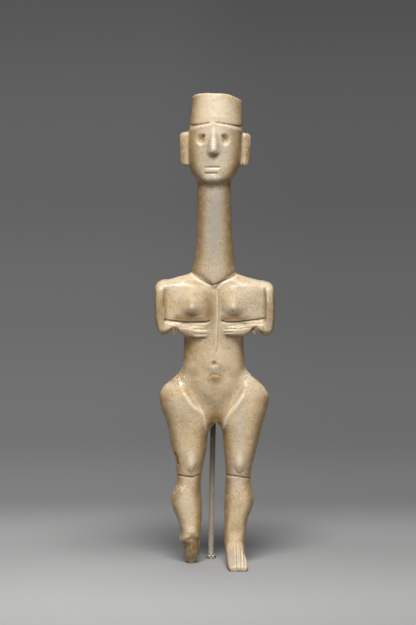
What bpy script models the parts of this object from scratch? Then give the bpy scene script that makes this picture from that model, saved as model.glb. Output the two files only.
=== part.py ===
"""Early Cycladic marble figurine of a standing woman, held upright by a rod and a bent wire cradle.

Metres, +Z up. The figure faces -Y, and +X is to the right of someone who faces it.
"""

import math

import bmesh
import bpy
import numpy as np
from mathutils import Matrix, Vector

# Driving sizes, in metres
FIGURE_HEIGHT = 0.214
ROD_DIAMETER = 0.0025
WIRE_DIAMETER = 0.0022
SOCKET_WALL = 0.00095
SOCKET_FLOOR = 0.0007
SOCKET_DEPTH = 0.0009
SOCKET_CHAMFER = 0.0003
ROD_ABOVE_WIRE = 0.0012
ROD_LEAN_DEGREES = 1.0
MARBLE_CLEARANCE = 0.0005
METAL_CLEARANCE = 0.0003

# Finish of the figure's solid
VOXEL = 0.6
SMOOTH_STEPS = 4
FIGURE_TRIANGLES = 8300

# The figure is carved freely, so its forms are shares of its height. There are 214 parts to it,
# each a millimetre at this height.
PARTS_HIGH = 214
PART = FIGURE_HEIGHT / PARTS_HIGH

# Upright forms, as rows of height, left, right, front and back, in parts
TRUNK = (
    (134.6, -8.6, 8.2, -5.0, 5.0),
    (133.0, -10.6, 9.6, -5.8, 5.4),
    (131.0, -17.8, 15.4, -6.4, 5.8),
    (129.0, -24.0, 22.6, -6.8, 6.0),
    (126.0, -25.6, 25.4, -7.1, 6.2),
    (120.0, -25.6, 25.6, -7.4, 6.4),
    (113.5, -24.0, 24.2, -7.5, 6.4),
    (110.6, -21.0, 21.2, -7.5, 6.2),
    (108.6, -15.6, 15.5, -7.5, 6.0),
    (102.5, -13.7, 13.2, -7.4, 5.8),
    (94.0, -13.9, 13.5, -7.3, 6.0),
    (90.0, -14.9, 14.3, -7.5, 7.0),
    (86.2, -17.7, 17.0, -7.4, 8.4),
    (82.5, -21.6, 21.3, -7.2, 9.2),
    (78.9, -24.2, 23.9, -6.9, 9.4),
    (75.5, -24.6, 24.4, -6.6, 9.0),
    (71.5, -21.5, 21.5, -6.2, 7.6),
    (68.4, -12.8, 13.2, -5.8, 6.4),
    (66.4, -9.4, 10.0, -4.8, 5.6),
    (65.0, -7.4, 8.0, -4.2, 5.0),
)
CHEST = (
    (111.4, -23.0, 23.2, -7.3, 5.0),
    (113.0, -25.2, 25.4, -7.6, 5.6),
    (125.4, -25.6, 25.2, -7.5, 6.0),
    (127.4, -25.0, 24.2, -7.1, 5.6),
    (129.0, -22.8, 21.4, -6.2, 4.8),
    (130.4, -18.4, 16.8, -4.8, 4.0),
)
NECK = (
    (127.6, -1.2, 1.4, -7.6, 4.0),
    (129.4, -4.0, 4.2, -8.1, 5.0),
    (131.4, -7.2, 7.2, -8.2, 5.8),
    (134.0, -9.8, 9.4, -8.1, 6.6),
    (137.2, -9.3, 8.9, -7.9, 7.0),
    (144.4, -8.5, 8.4, -7.7, 7.0),
    (155.3, -7.9, 7.9, -7.5, 6.9),
    (166.2, -7.7, 7.6, -7.4, 6.9),
    (178.0, -7.6, 7.5, -6.0, 7.4),
)
LEFT_ARM = (
    (129.9, -23.2, -18.6, -3.4, 4.0),
    (128.5, -26.0, -20.2, -5.8, 5.4),
    (126.0, -26.9, -21.6, -7.7, 6.2),
    (120.8, -27.1, -22.2, -8.4, 6.2),
    (113.5, -26.7, -22.2, -8.6, 5.4),
    (109.5, -26.2, -20.8, -8.5, 4.8),
    (107.1, -25.2, -20.7, -7.8, 4.0),
    (105.5, -24.2, -21.4, -6.4, 2.6),
)
RIGHT_ARM = (
    (129.3, 18.0, 22.2, -3.4, 4.0),
    (128.2, 20.2, 25.6, -5.8, 5.4),
    (126.0, 21.6, 26.8, -7.7, 6.2),
    (120.8, 22.4, 27.3, -8.4, 6.2),
    (113.5, 22.4, 27.3, -8.6, 5.4),
    (109.0, 20.9, 27.0, -8.5, 4.8),
    (106.6, 20.8, 26.1, -7.8, 4.0),
    (105.0, 21.4, 24.6, -6.4, 2.6),
)
LEFT_LEG = (
    (86.0, -17.0, -5.0, -5.0, 7.0),
    (80.7, -23.4, -2.0, -6.8, 9.0),
    (76.5, -24.8, -0.4, -7.5, 9.6),
    (71.5, -23.9, 0.4, -7.8, 9.2),
    (66.0, -22.0, 1.2, -7.7, 8.2),
    (64.6, -21.6, 0.4, -7.6, 8.0),
    (61.8, -20.9, -2.0, -7.5, 7.6),
    (60.5, -20.6, -2.6, -7.4, 7.4),
    (57.0, -20.0, -3.1, -7.2, 7.0),
    (53.2, -19.3, -3.5, -6.9, 6.4),
    (47.5, -17.5, -4.6, -6.4, 5.6),
    (42.2, -17.1, -5.5, -5.6, 5.2),
    (40.2, -16.9, -5.9, -5.0, 5.4),
    (36.5, -17.5, -6.0, -4.8, 6.4),
    (33.0, -18.7, -6.1, -4.8, 7.4),
    (29.3, -19.5, -5.7, -4.8, 7.8),
    (25.6, -18.9, -5.5, -4.6, 7.2),
    (21.0, -17.0, -5.7, -4.4, 5.8),
    (14.6, -15.4, -6.2, -4.2, 4.6),
    (11.0, -16.1, -6.5, -4.0, 4.6),
    (8.8, -14.0, -6.4, -3.4, 5.0),
    (5.3, -13.8, -6.7, -2.4, 5.8),
    (3.4, -13.6, -7.0, -1.4, 6.2),
    (1.8, -12.9, -7.9, -0.4, 6.6),
    (-0.8, -12.4, -8.4, 0.8, 7.0),
)
RIGHT_LEG = (
    (86.0, 5.0, 16.5, -5.0, 7.0),
    (80.7, 2.0, 23.0, -6.8, 9.0),
    (76.5, 0.6, 24.7, -7.5, 9.6),
    (71.5, 0.4, 24.0, -7.8, 9.2),
    (66.0, 0.4, 22.5, -7.7, 8.2),
    (64.8, 1.1, 22.1, -7.6, 8.0),
    (62.4, 3.0, 21.4, -7.5, 7.6),
    (60.5, 3.6, 20.9, -7.4, 7.4),
    (57.0, 4.0, 20.1, -7.2, 7.0),
    (53.2, 4.4, 19.2, -6.9, 6.4),
    (47.5, 4.8, 17.7, -6.4, 5.6),
    (42.2, 5.2, 16.6, -5.6, 5.2),
    (39.0, 5.1, 16.4, -5.0, 5.6),
    (34.8, 4.9, 17.1, -4.8, 6.8),
    (29.3, 4.6, 18.0, -4.8, 7.8),
    (25.6, 4.5, 17.3, -4.6, 7.2),
    (21.0, 4.5, 15.4, -4.4, 5.8),
    (16.0, 4.5, 14.5, -4.8, 5.0),
    (11.0, 4.5, 14.1, -6.2, 5.2),
    (6.0, 4.8, 13.4, -8.0, 6.0),
    (-0.8, 5.8, 13.6, -6.0, 6.0),
)

# Level forms: the forearms run along X, as rows of X, bottom, top, front and back
SEAT_LEFT = -17.8
SEAT_RIGHT = 18.1
SEAT_HEIGHT = 108.7
FOREARM_FRONT = -8.5
LEFT_FOREARM = (
    (-25.0, 107.6, 111.4, -7.8, 3.0),
    (-22.2, 105.9, 112.0, FOREARM_FRONT, 4.0),
    (-21.0, 106.5, 111.7, FOREARM_FRONT, 4.0),
    (-19.6, 107.6, 111.4, FOREARM_FRONT, 4.0),
    (-18.9, 108.5, 111.3, FOREARM_FRONT, 4.0),
    (SEAT_LEFT, SEAT_HEIGHT, 111.1, FOREARM_FRONT, 4.0),
    (-16.7, 108.5, 110.9, FOREARM_FRONT, 3.0),
    (-16.0, 107.2, 110.8, FOREARM_FRONT, 2.0),
    (-13.4, 105.0, 110.5, FOREARM_FRONT, 0.0),
    (-10.9, 104.2, 110.2, FOREARM_FRONT, 0.0),
    (-7.0, 103.7, 109.9, FOREARM_FRONT, 0.0),
    (-4.4, 103.9, 109.5, -8.3, 0.0),
    (-2.9, 104.6, 109.1, -7.5, 0.0),
)
RIGHT_FOREARM = (
    (3.9, 105.4, 109.4, -7.5, 0.0),
    (5.4, 105.0, 109.8, -8.3, 0.0),
    (9.4, 104.7, 110.1, FOREARM_FRONT, 0.0),
    (13.2, 104.9, 110.5, FOREARM_FRONT, 0.0),
    (16.3, 107.2, 110.9, FOREARM_FRONT, 2.0),
    (17.0, 108.5, 111.0, FOREARM_FRONT, 3.0),
    (SEAT_RIGHT, SEAT_HEIGHT, 111.2, FOREARM_FRONT, 4.0),
    (19.2, 108.5, 111.5, FOREARM_FRONT, 4.0),
    (19.9, 107.6, 111.6, FOREARM_FRONT, 4.0),
    (21.2, 106.4, 111.9, FOREARM_FRONT, 4.0),
    (22.8, 105.6, 112.2, FOREARM_FRONT, 4.0),
    (25.4, 106.8, 111.6, -7.8, 3.0),
)

# The foot runs along Y, as rows of Y, left, right, bottom and top
FOOT = (
    (6.6, 6.8, 12.4, -0.8, 4.0),
    (5.4, 5.6, 13.6, -0.8, 8.0),
    (1.0, 5.1, 14.0, -0.8, 12.0),
    (-2.6, 5.0, 13.8, -0.8, 12.6),
    (-5.6, 5.1, 13.8, -0.8, 10.9),
    (-9.0, 5.3, 14.0, -0.8, 9.2),
    (-12.5, 5.6, 14.6, -0.8, 7.4),
    (-16.0, 6.0, 15.1, -0.8, 5.2),
    (-19.0, 6.4, 15.0, -0.8, 3.4),
    (-20.4, 7.2, 14.2, -0.8, 2.4),
)

# The head leans back about its chin. Its rows are height up the head, left, right, front and back.
HEAD_PLACE = (0.0, -1.5, 170.5)
HEAD_TILT = 13.0
HEAD = (
    (2.3, -4.4, 3.8, -7.2, 4.0),
    (3.7, -6.6, 6.2, -8.5, 5.2),
    (5.2, -8.1, 8.1, -9.1, 6.4),
    (7.2, -9.7, 9.5, -9.5, 7.6),
    (10.4, -11.1, 11.0, -9.7, 8.8),
    (14.5, -11.7, 11.9, -9.8, 9.7),
    (21.0, -12.1, 12.5, -9.9, 10.4),
    (28.2, -11.4, 12.8, -10.4, 10.6),
    (29.2, -11.3, 12.8, -10.3, 10.6),
    (30.4, -11.1, 12.8, -9.8, 10.5),
    (39.0, -10.4, 12.6, -8.5, 10.0),
    (46.0, -10.0, 12.1, -7.3, 9.6),
)
NOSE = (
    (14.6, -2.6, 1.8, -10.6, -5.0),
    (15.6, -3.4, 2.6, -12.6, -5.0),
    (18.0, -3.1, 2.3, -12.2, -5.0),
    (22.0, -2.6, 1.8, -11.3, -5.0),
    (28.0, -2.0, 1.2, -10.5, -5.0),
)
LEFT_EAR = (
    (11.2, -14.2, -10.0, -1.4, 1.8),
    (12.6, -15.4, -10.0, -2.2, 2.6),
    (25.0, -15.8, -10.0, -2.2, 2.6),
    (26.7, -14.4, -10.0, -1.4, 1.8),
)
RIGHT_EAR = (
    (11.0, 10.0, 14.8, -1.4, 1.8),
    (12.4, 10.0, 15.8, -2.2, 2.6),
    (24.4, 10.0, 16.7, -2.2, 2.6),
    (26.0, 10.0, 15.4, -1.4, 1.8),
)
CAP_TOP = (0.0, 1.0, 214.2)
CAP_TILT = 12.5
CAP_ROLL = 2.6
CAP_WEAR = (((-6.5, 205.0), (-11.0, 212.0), 1.2), ((4.5, 200.0), (13.0, 211.0), 1.7))

# Buttocks, each a ball with a centre and radii
BUTTOCK_CENTRES = ((-9.6, 4.0, 76.5), (9.6, 4.0, 76.5))
BUTTOCK_RADII = (12.0, 8.4, 11.0)
BUTTOCK_BACK = 12.4

# Lines cut on the front, as X and Z points
NECKLINE = (
    (-10.4, 133.6),
    (-6.6, 131.1),
    (-3.4, 129.4),
    (-0.7, 128.6),
    (2.0, 129.3),
    (5.1, 130.8),
    (10.4, 132.9),
)
CAP_LINE_LEFT = ((-12.2, 199.6), (-6.9, 200.6), (-2.6, 201.3))
CAP_LINE_RIGHT = ((1.0, 201.5), (6.1, 200.8), (13.0, 199.2))
MOUTH_UPPER = ((-4.2, 181.7), (2.1, 181.7))
MOUTH_LOWER = ((-4.2, 179.0), (1.0, 179.0))
MEDIAN_LINE = ((2.0, 126.0), (1.8, 112.0), (1.5, 104.0), (1.0, 98.0))
ARM_EDGE_LEFT = ((-21.8, 126.0), (-21.8, 112.8))
ARM_EDGE_RIGHT = ((22.8, 127.0), (22.2, 113.2))
CHEST_EDGE_LEFT = ((-22.2, 112.5), (-12.5, 111.5), (-4.0, 111.6), (-2.4, 112.1))
CHEST_EDGE_RIGHT = ((22.2, 113.1), (9.7, 111.6), (5.0, 111.8), (3.4, 112.3))
FINGERS = (
    ((-8.9, 108.6), (-3.6, 108.4)),
    ((-8.9, 106.6), (-3.6, 106.4)),
    ((-6.4, 104.5), (-3.6, 104.4)),
    ((4.4, 108.5), (9.4, 108.8)),
    ((4.4, 107.0), (8.4, 107.2)),
)
EYES = (((-6.0, 193.9), (-4.9, 195.4)), ((5.0, 193.9), (4.0, 195.4)))
CHIN = (-0.8, 176.6)
EAR_CREASES = (((-12.0, 197.0), (-11.9, 183.0)), ((12.7, 196.0), (12.6, 182.0)))
BREASTS = ((-10.0, 118.6), (8.6, 118.6))
BELLY = (0.4, 93.0)
THIGHS = ((-11.0, 54.0), (12.4, 54.0))
KNEES = ((-10.3, 46.8), (11.4, 46.8))
NAVEL = (-0.1, 92.9)
PUBIC_ARC = ((-2.4, 86.9), (-1.7, 87.8), (-0.3, 88.3), (1.7, 87.9), (3.2, 87.2))
GROIN_LEFT = ((-16.8, 84.0), (-13.1, 77.8), (-9.7, 73.2), (-5.7, 69.8), (-4.0, 66.3), (-3.1, 61.2))
GROIN_RIGHT = ((16.4, 84.0), (12.6, 77.2), (8.6, 71.5), (5.2, 66.9), (4.0, 62.5))
KNEE_LINE_LEFT = ((-17.6, 41.4), (-9.6, 40.7), (-5.0, 41.9))
KNEE_LINE_RIGHT = ((4.4, 41.5), (11.6, 41.0), (17.0, 39.6))
BROKEN_KNOB = (-10.4, 15.6)
BROKEN_EDGE = ((-16.4, 11.2), (-13.4, 12.6), (-10.6, 13.4), (-8.4, 13.4), (-6.0, 12.4))
TOES = (
    ((9.9, 10.4), (9.9, -1.0)),
    ((11.9, 8.4), (12.1, -1.0)),
    ((13.4, 7.0), (13.5, -1.0)),
)

# Lines cut on the back
SPINE = ((0.2, 131.0), (0.2, 86.0))
BUTTOCK_CLEFT = ((0.2, 84.0), (0.4, 66.0))
NAPE_LINE = ((-8.6, 133.6), (0.0, 131.6), (8.4, 133.2))
CAP_LINE_BACK = ((-13.0, 197.8), (0.0, 195.0), (13.6, 197.2))


def clear_scene():
    for obj in list(bpy.data.objects):
        bpy.data.objects.remove(obj, do_unlink=True)


def fill_in(rows, step):
    """The rows with more between them, on a smooth curve that never swings past a row."""
    rows = np.array(sorted(rows), float)
    place = rows[:, 0]
    gaps = np.diff(place)
    slopes = np.diff(rows, axis=0) / gaps[:, None]
    tangents = np.zeros_like(rows)
    tangents[0] = slopes[0]
    tangents[-1] = slopes[-1]
    before, after = slopes[:-1], slopes[1:]
    same_way = before * after > 0
    total = np.where(same_way, before + after, 1.0)
    tangents[1:-1] = np.where(same_way, 2 * before * after / total, 0.0)
    count = max(2, math.ceil((place[-1] - place[0]) / step) + 1)
    wanted = np.linspace(place[0], place[-1], count)
    index = np.clip(np.searchsorted(place, wanted, side="right") - 1, 0, len(gaps) - 1)
    gap = gaps[index][:, None]
    t = (wanted - place[index])[:, None] / gap
    start = (2 * t**3 - 3 * t**2 + 1) * rows[index] + (t**3 - 2 * t**2 + t) * gap * tangents[index]
    end = (3 * t**2 - 2 * t**3) * rows[index + 1] + (t**3 - t**2) * gap * tangents[index + 1]
    return start + end


def smooth_step(value):
    value = np.clip(value, 0.0, 1.0)
    return value * value * (3 - 2 * value)


def loft(shells, rows, axes="XYZ", squareness=2.4, sides=48, step=1.0):
    """A closed shell through rows of place, low and high across, low and high deep, added to the shells.

    The axes name the directions across, deep and along, in that order.
    """
    across_axis, deep_axis, along_axis = ("XYZ".index(name) for name in axes)
    angles = np.linspace(0, 2 * np.pi, sides, endpoint=False)
    ring_across = np.sign(np.cos(angles)) * np.abs(np.cos(angles)) ** (2 / squareness)
    ring_deep = np.sign(np.sin(angles)) * np.abs(np.sin(angles)) ** (2 / squareness)
    rings = []
    for place, low, high, near, far in fill_in(rows, step):
        points = np.empty((sides, 3))
        points[:, across_axis] = (low + high) / 2 + (high - low) / 2 * ring_across
        points[:, deep_axis] = (near + far) / 2 + (far - near) / 2 * ring_deep
        points[:, along_axis] = place
        rings.append([shells.verts.new(point) for point in points])
    faces = [shells.faces.new(rings[0]), shells.faces.new(rings[-1])]
    for lower, upper in zip(rings, rings[1:]):
        for side in range(sides):
            after = (side + 1) % sides
            faces.append(shells.faces.new((lower[side], lower[after], upper[after], upper[side])))
    bmesh.ops.recalc_face_normals(shells, faces=faces)
    return [vert for ring in rings for vert in ring]


def ball(shells, centre, radii):
    made = bmesh.ops.create_uvsphere(shells, u_segments=32, v_segments=20, radius=1.0)
    matrix = Matrix.Translation(centre) @ Matrix.Diagonal((*radii, 1.0))
    bmesh.ops.transform(shells, matrix=matrix, verts=made["verts"])


def head_matrix():
    return Matrix.Translation(HEAD_PLACE) @ Matrix.Rotation(math.radians(-HEAD_TILT), 4, "X")


def head_shells(shells):
    """The head leaning back: its cap cut off flat and worn down on the right, the nose and the ears."""
    head = bmesh.new()
    loft(head, HEAD, squareness=2.4)
    bmesh.ops.transform(head, matrix=head_matrix(), verts=head.verts)
    tilt = Matrix.Rotation(math.radians(-CAP_TILT), 3, "X")
    roll = Matrix.Rotation(math.radians(CAP_ROLL), 3, "Y")
    cut_flat(head, CAP_TOP, tilt @ roll @ Vector((0, 0, 1)))
    for start, end, depth in CAP_WEAR:
        for vert in head.verts:
            out, up = np.subtract((vert.co.x, vert.co.z), start) / np.subtract(end, start)
            vert.co.z -= depth * smooth_step(out) * smooth_step(up)
    head_mesh = bpy.data.meshes.new("head")
    head.to_mesh(head_mesh)
    head.free()
    shells.from_mesh(head_mesh)
    bpy.data.meshes.remove(head_mesh)
    small = loft(shells, NOSE, squareness=1.6)
    for ear in (LEFT_EAR, RIGHT_EAR):
        small += loft(shells, ear, squareness=2.6)
    bmesh.ops.transform(shells, matrix=head_matrix(), verts=small)


def cut_flat(shape, point, normal):
    """Takes away what lies past the plane, and closes the cut."""
    everything = list(shape.verts) + list(shape.edges) + list(shape.faces)
    cut = bmesh.ops.bisect_plane(
        shape, geom=everything, dist=1e-6, plane_co=point, plane_no=normal, clear_outer=True
    )
    rim = [item for item in cut["geom_cut"] if isinstance(item, bmesh.types.BMEdge)]
    made = bmesh.ops.edgeloop_fill(shape, edges=rim)
    bmesh.ops.triangulate(shape, faces=made["faces"])
    bmesh.ops.recalc_face_normals(shape, faces=shape.faces)


def figure_shells():
    """Every rough form of the figure as closed shells that run into each other."""
    shells = bmesh.new()
    loft(shells, TRUNK, squareness=2.2, sides=64)
    loft(shells, CHEST, squareness=5.0, sides=64)
    loft(shells, NECK, squareness=2.0)
    for arm in (LEFT_ARM, RIGHT_ARM):
        loft(shells, arm, squareness=3.2)
    for leg in (LEFT_LEG, RIGHT_LEG):
        loft(shells, leg, squareness=1.95)
    for forearm in (LEFT_FOREARM, RIGHT_FOREARM):
        loft(shells, forearm, axes="ZYX", squareness=2.8, step=0.6)
    loft(shells, FOOT, axes="XZY", squareness=2.5)
    for centre in BUTTOCK_CENTRES:
        ball(shells, centre, BUTTOCK_RADII)
    head_shells(shells)
    return shells


def evaluated_mesh(obj):
    graph = bpy.context.evaluated_depsgraph_get()
    return bpy.data.meshes.new_from_object(obj.evaluated_get(graph), depsgraph=graph)


def with_modifiers(mesh, *settings):
    """The mesh after the modifiers, each given as a type and its values."""
    helper = bpy.data.objects.new("helper", mesh)
    bpy.context.scene.collection.objects.link(helper)
    for kind, values in settings:
        modifier = helper.modifiers.new(kind.title(), kind)
        for name, value in values.items():
            setattr(modifier, name, value)
    bpy.context.view_layer.update()
    result = evaluated_mesh(helper)
    bpy.data.objects.remove(helper, do_unlink=True)
    bpy.data.meshes.remove(mesh)
    return result


def fused_mesh(shells, voxel, smooth_steps):
    mesh = bpy.data.meshes.new("rough")
    shells.to_mesh(mesh)
    shells.free()
    return with_modifiers(
        mesh,
        ("REMESH", {"mode": "VOXEL", "voxel_size": voxel}),
        ("SMOOTH", {"factor": 0.5, "iterations": smooth_steps}),
    )


class Stone:
    """The fused surface as arrays, with the carver's moves.

    Paths lie in the plane that faces the carver, as X and Z points.
    """

    def __init__(self, mesh):
        self.mesh = mesh
        count = len(mesh.vertices)
        self.points = np.empty(count * 3)
        mesh.vertices.foreach_get("co", self.points)
        self.points = self.points.reshape(-1, 3)
        self.normals = np.empty(count * 3)
        mesh.vertex_normals.foreach_get("vector", self.normals)
        self.normals = self.normals.reshape(-1, 3)

    def facing(self, side):
        """How far each point faces the carver, who stands in front (-1) or behind (1)."""
        return smooth_step((self.normals[:, 1] * side - 0.05) / 0.4)

    def nearest(self, path):
        """How far each point is from the path, and on which side: 1 to the left of it, -1 to the right."""
        flat = self.points[:, [0, 2]]
        best = np.full(len(flat), np.inf)
        turn = np.zeros(len(flat))
        for start, end in zip(np.array(path[:-1]), np.array(path[1:])):
            along = end - start
            share = np.clip((flat - start) @ along / (along @ along), 0.0, 1.0)
            offset = flat - start - share[:, None] * along
            distance = np.hypot(offset[:, 0], offset[:, 1])
            nearer = distance < best
            best = np.where(nearer, distance, best)
            cross = along[0] * (flat[:, 1] - start[1]) - along[1] * (flat[:, 0] - start[0])
            turn = np.where(nearer, np.sign(cross), turn)
        return best, turn

    def move(self, amount, side):
        """Pushes the surface in along its normal, where it faces the carver."""
        self.points -= self.normals * (amount * self.facing(side))[:, None]

    def groove(self, path, width, depth, side=-1):
        distance, _ = self.nearest(path)
        self.move(depth * (1 - smooth_step(distance / (width / 2))), side)

    def step(self, path, depth, edge, fade, run_in, run_out, hand, side=-1):
        """Lowers the surface on one hand of the path, sharply at the path and less away from it.

        The step comes up to its depth over the run-in from the path's first point, and fades over the
        run-out to its last one.
        """
        distance, turn = self.nearest(path)
        drop = smooth_step(distance / edge) * (1 - smooth_step((distance - edge) / fade))
        for end, run in ((path[0], run_in), (path[-1], run_out)):
            from_end = self.points[:, [0, 2]] - end
            drop *= smooth_step(np.hypot(from_end[:, 0], from_end[:, 1]) / run)
        self.move(depth * drop * (turn * hand > 0), side)

    def mound(self, centre, radii, height, side=-1):
        """Raises a hill. The radii are across, up and down, and a negative height makes a hollow."""
        across = (self.points[:, 0] - centre[0]) / radii[0]
        rise = self.points[:, 2] - centre[1]
        upright = rise / np.where(rise > 0, radii[1], radii[2])
        reach = np.hypot(across, upright)
        self.move(-height * (1 - smooth_step(reach)), side)

    def write(self):
        self.mesh.vertices.foreach_set("co", self.points.reshape(-1))
        self.mesh.update()
        return self.mesh


def carve_head(stone):
    for path in (CAP_LINE_LEFT, CAP_LINE_RIGHT):
        stone.groove(path, width=1.4, depth=0.7)
    for centre, pupil in EYES:
        stone.mound(centre, radii=(2.7, 3.4, 3.2), height=-1.7)
        stone.mound(pupil, radii=(1.4, 1.4, 1.4), height=-0.7)
    for path in (MOUTH_UPPER, MOUTH_LOWER):
        stone.groove(path, width=1.4, depth=0.7)
    stone.mound(CHIN, radii=(5.5, 2.0, 3.0), height=0.4)
    for path in EAR_CREASES:
        stone.groove(path, width=1.6, depth=0.7)


def carve_chest(stone):
    stone.groove(NECKLINE, width=1.6, depth=0.7)
    stone.groove(MEDIAN_LINE, width=1.3, depth=0.4)
    for path in (ARM_EDGE_LEFT, ARM_EDGE_RIGHT):
        stone.groove(path, width=2.2, depth=0.2)
    for path in (CHEST_EDGE_LEFT, CHEST_EDGE_RIGHT):
        stone.groove(path, width=1.5, depth=0.9)
    for centre in BREASTS:
        stone.mound(centre, radii=(6.8, 9.6, 4.6), height=2.2)
        stone.mound(centre, radii=(2.2, 2.6, 1.9), height=0.6)
    for path in FINGERS:
        stone.groove(path, width=1.0, depth=0.45)


def carve_hips(stone):
    stone.mound(BELLY, radii=(10.0, 10.0, 5.2), height=1.2)
    stone.mound(NAVEL, radii=(1.9, 1.7, 1.9), height=-1.2)
    stone.groove(PUBIC_ARC, width=1.3, depth=0.3)
    for path, hand in ((GROIN_LEFT, 1), (GROIN_RIGHT, -1)):
        stone.groove(path[1:], width=5.0, depth=-0.5)
        stone.step(path, depth=1.6, edge=2.2, fade=7.0, run_in=8.0, run_out=15.0, hand=hand)


def carve_legs(stone):
    for centre in THIGHS:
        stone.mound(centre, radii=(6.0, 22.0, 13.0), height=0.8)
    for centre in KNEES:
        stone.mound(centre, radii=(3.9, 8.0, 4.6), height=1.1)
    for path in (KNEE_LINE_LEFT, KNEE_LINE_RIGHT):
        stone.groove(path, width=1.2, depth=0.6)
        stone.groove(path, width=1.2, depth=0.5, side=1)
    stone.mound(BROKEN_KNOB, radii=(2.8, 3.0, 2.0), height=0.5)
    stone.step(BROKEN_EDGE, depth=0.8, edge=1.4, fade=9.0, run_in=3.0, run_out=1.0, hand=-1)
    for path in TOES:
        stone.groove(path, width=0.9, depth=0.5)


def carve_back(stone):
    stone.groove(SPINE, width=2.4, depth=0.7, side=1)
    stone.groove(BUTTOCK_CLEFT, width=2.6, depth=1.4, side=1)
    stone.groove(NAPE_LINE, width=1.6, depth=0.6, side=1)
    stone.groove(CAP_LINE_BACK, width=1.6, depth=0.6, side=1)


def figure_mesh(voxel, smooth_steps, triangles):
    """The carved figure in parts, cut flat where the foot and the broken heel stand."""
    stone = Stone(fused_mesh(figure_shells(), voxel, smooth_steps))
    for carve in (carve_head, carve_chest, carve_hips, carve_legs, carve_back):
        carve(stone)
    mesh = stone.write()
    ratio = triangles / (2 * len(mesh.polygons))
    mesh = with_modifiers(mesh, ("DECIMATE", {"ratio": ratio}))
    shape = bmesh.new()
    shape.from_mesh(mesh)
    cut_flat(shape, (0, 0, 0), (0, 0, -1))
    bmesh.ops.triangulate(shape, faces=shape.faces)
    shape.to_mesh(mesh)
    shape.free()
    return mesh


def material(name, colour, roughness, metallic):
    made = bpy.data.materials.new(name)
    made.use_nodes = True
    shader = made.node_tree.nodes["Principled BSDF"]
    shader.inputs["Base Color"].default_value = (*colour, 1.0)
    shader.inputs["Roughness"].default_value = roughness
    shader.inputs["Metallic"].default_value = metallic
    return made


def add_object(name, data, surface):
    obj = bpy.data.objects.new(name, data)
    bpy.context.scene.collection.objects.link(obj)
    data.materials.append(surface)
    return obj


def make_figurine():
    mesh = figure_mesh(VOXEL, SMOOTH_STEPS, FIGURE_TRIANGLES)
    mesh.transform(Matrix.Scale(PART, 4))
    mesh.shade_smooth()
    return add_object("figurine", mesh, material("marble", (0.68, 0.55, 0.38), 0.45, 0.0))


# Places of the mount, worked out from the figure
ROD_RADIUS = ROD_DIAMETER / 2
ROD_LEAN = math.tan(math.radians(ROD_LEAN_DEGREES))
ROD_BACK = BUTTOCK_BACK * PART + MARBLE_CLEARANCE + ROD_RADIUS
ROD_BASE_X = -1.6 * PART
WIRE_RADIUS = WIRE_DIAMETER / 2
WIRE_HEIGHT = SEAT_HEIGHT * PART - MARBLE_CLEARANCE - WIRE_RADIUS
WIRE_FRONT = FOREARM_FRONT * PART - MARBLE_CLEARANCE - WIRE_RADIUS
WIRE_BACK = ROD_BACK - ROD_RADIUS - METAL_CLEARANCE - WIRE_RADIUS
ROD_TOP = WIRE_HEIGHT + WIRE_RADIUS + ROD_ABOVE_WIRE
SOCKET_HEIGHT = SOCKET_FLOOR + SOCKET_DEPTH
SOCKET_BORE = ROD_RADIUS + METAL_CLEARANCE
SOCKET_RADIUS = SOCKET_BORE + SOCKET_WALL

# The wire's route behind each prong, as how far in from the prong and how far back, in parts
PRONG_RISE = 2.3 * PART
PRONG_OUTWARD = 1.8 * PART
PRONG_BEND = 1.4 * PART
ROUTE_UNDER_ARM = ((0.0, -3.0), (0.0, 4.0), (1.6, 8.4), (6.0, 11.4))
ROUTE_INWARD_AT_BACK = 11.5
ROUTE_STEPS = 3


def make_rod():
    """A straight rod that leans a little, standing in the socket of its foot."""
    bottom = Vector((ROD_BASE_X, ROD_BACK, SOCKET_FLOOR + METAL_CLEARANCE))
    top = Vector((ROD_BASE_X + ROD_LEAN * (ROD_TOP - bottom.z), ROD_BACK, ROD_TOP))
    shape = bmesh.new()
    length = (top - bottom).length
    bmesh.ops.create_cone(
        shape, cap_ends=True, segments=24, radius1=ROD_RADIUS, radius2=ROD_RADIUS, depth=length
    )
    mesh = bpy.data.meshes.new("mount_rod")
    shape.to_mesh(mesh)
    shape.free()
    mesh.shade_smooth()
    mesh.set_sharp_from_angle(angle=math.radians(40))
    rod = add_object("mount_rod", mesh, material("rod paint", (0.42, 0.36, 0.29), 0.45, 0.2))
    rod.location = (bottom + top) / 2
    rod.rotation_euler = (top - bottom).to_track_quat("Z", "Y").to_euler()
    return rod


def wire_route():
    """The cradle's centre line: down one prong, back under the arm, round the waist and up the other."""
    side_points = []
    for seat, outward in ((SEAT_LEFT * PART, 0.0), (SEAT_RIGHT * PART, PRONG_OUTWARD)):
        inward = -math.copysign(PART, seat)
        points = [
            Vector((seat + outward, WIRE_FRONT, WIRE_HEIGHT + PRONG_RISE)),
            Vector((seat + outward * 0.3, WIRE_FRONT, WIRE_HEIGHT + PRONG_RISE * 0.5)),
            Vector((seat, WIRE_FRONT + PRONG_BEND * 0.3, WIRE_HEIGHT + PRONG_BEND * 0.25)),
            Vector((seat, WIRE_FRONT + PRONG_BEND, WIRE_HEIGHT)),
        ]
        for shift, back in ROUTE_UNDER_ARM:
            points.append(Vector((seat + inward * shift, back * PART, WIRE_HEIGHT)))
        points.append(Vector((seat + inward * ROUTE_INWARD_AT_BACK, WIRE_BACK, WIRE_HEIGHT)))
        side_points.append(points)
    left, right = side_points
    middle = Vector((ROD_BASE_X + ROD_LEAN * WIRE_HEIGHT, WIRE_BACK, WIRE_HEIGHT))
    return left + [middle] + right[::-1]


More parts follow.
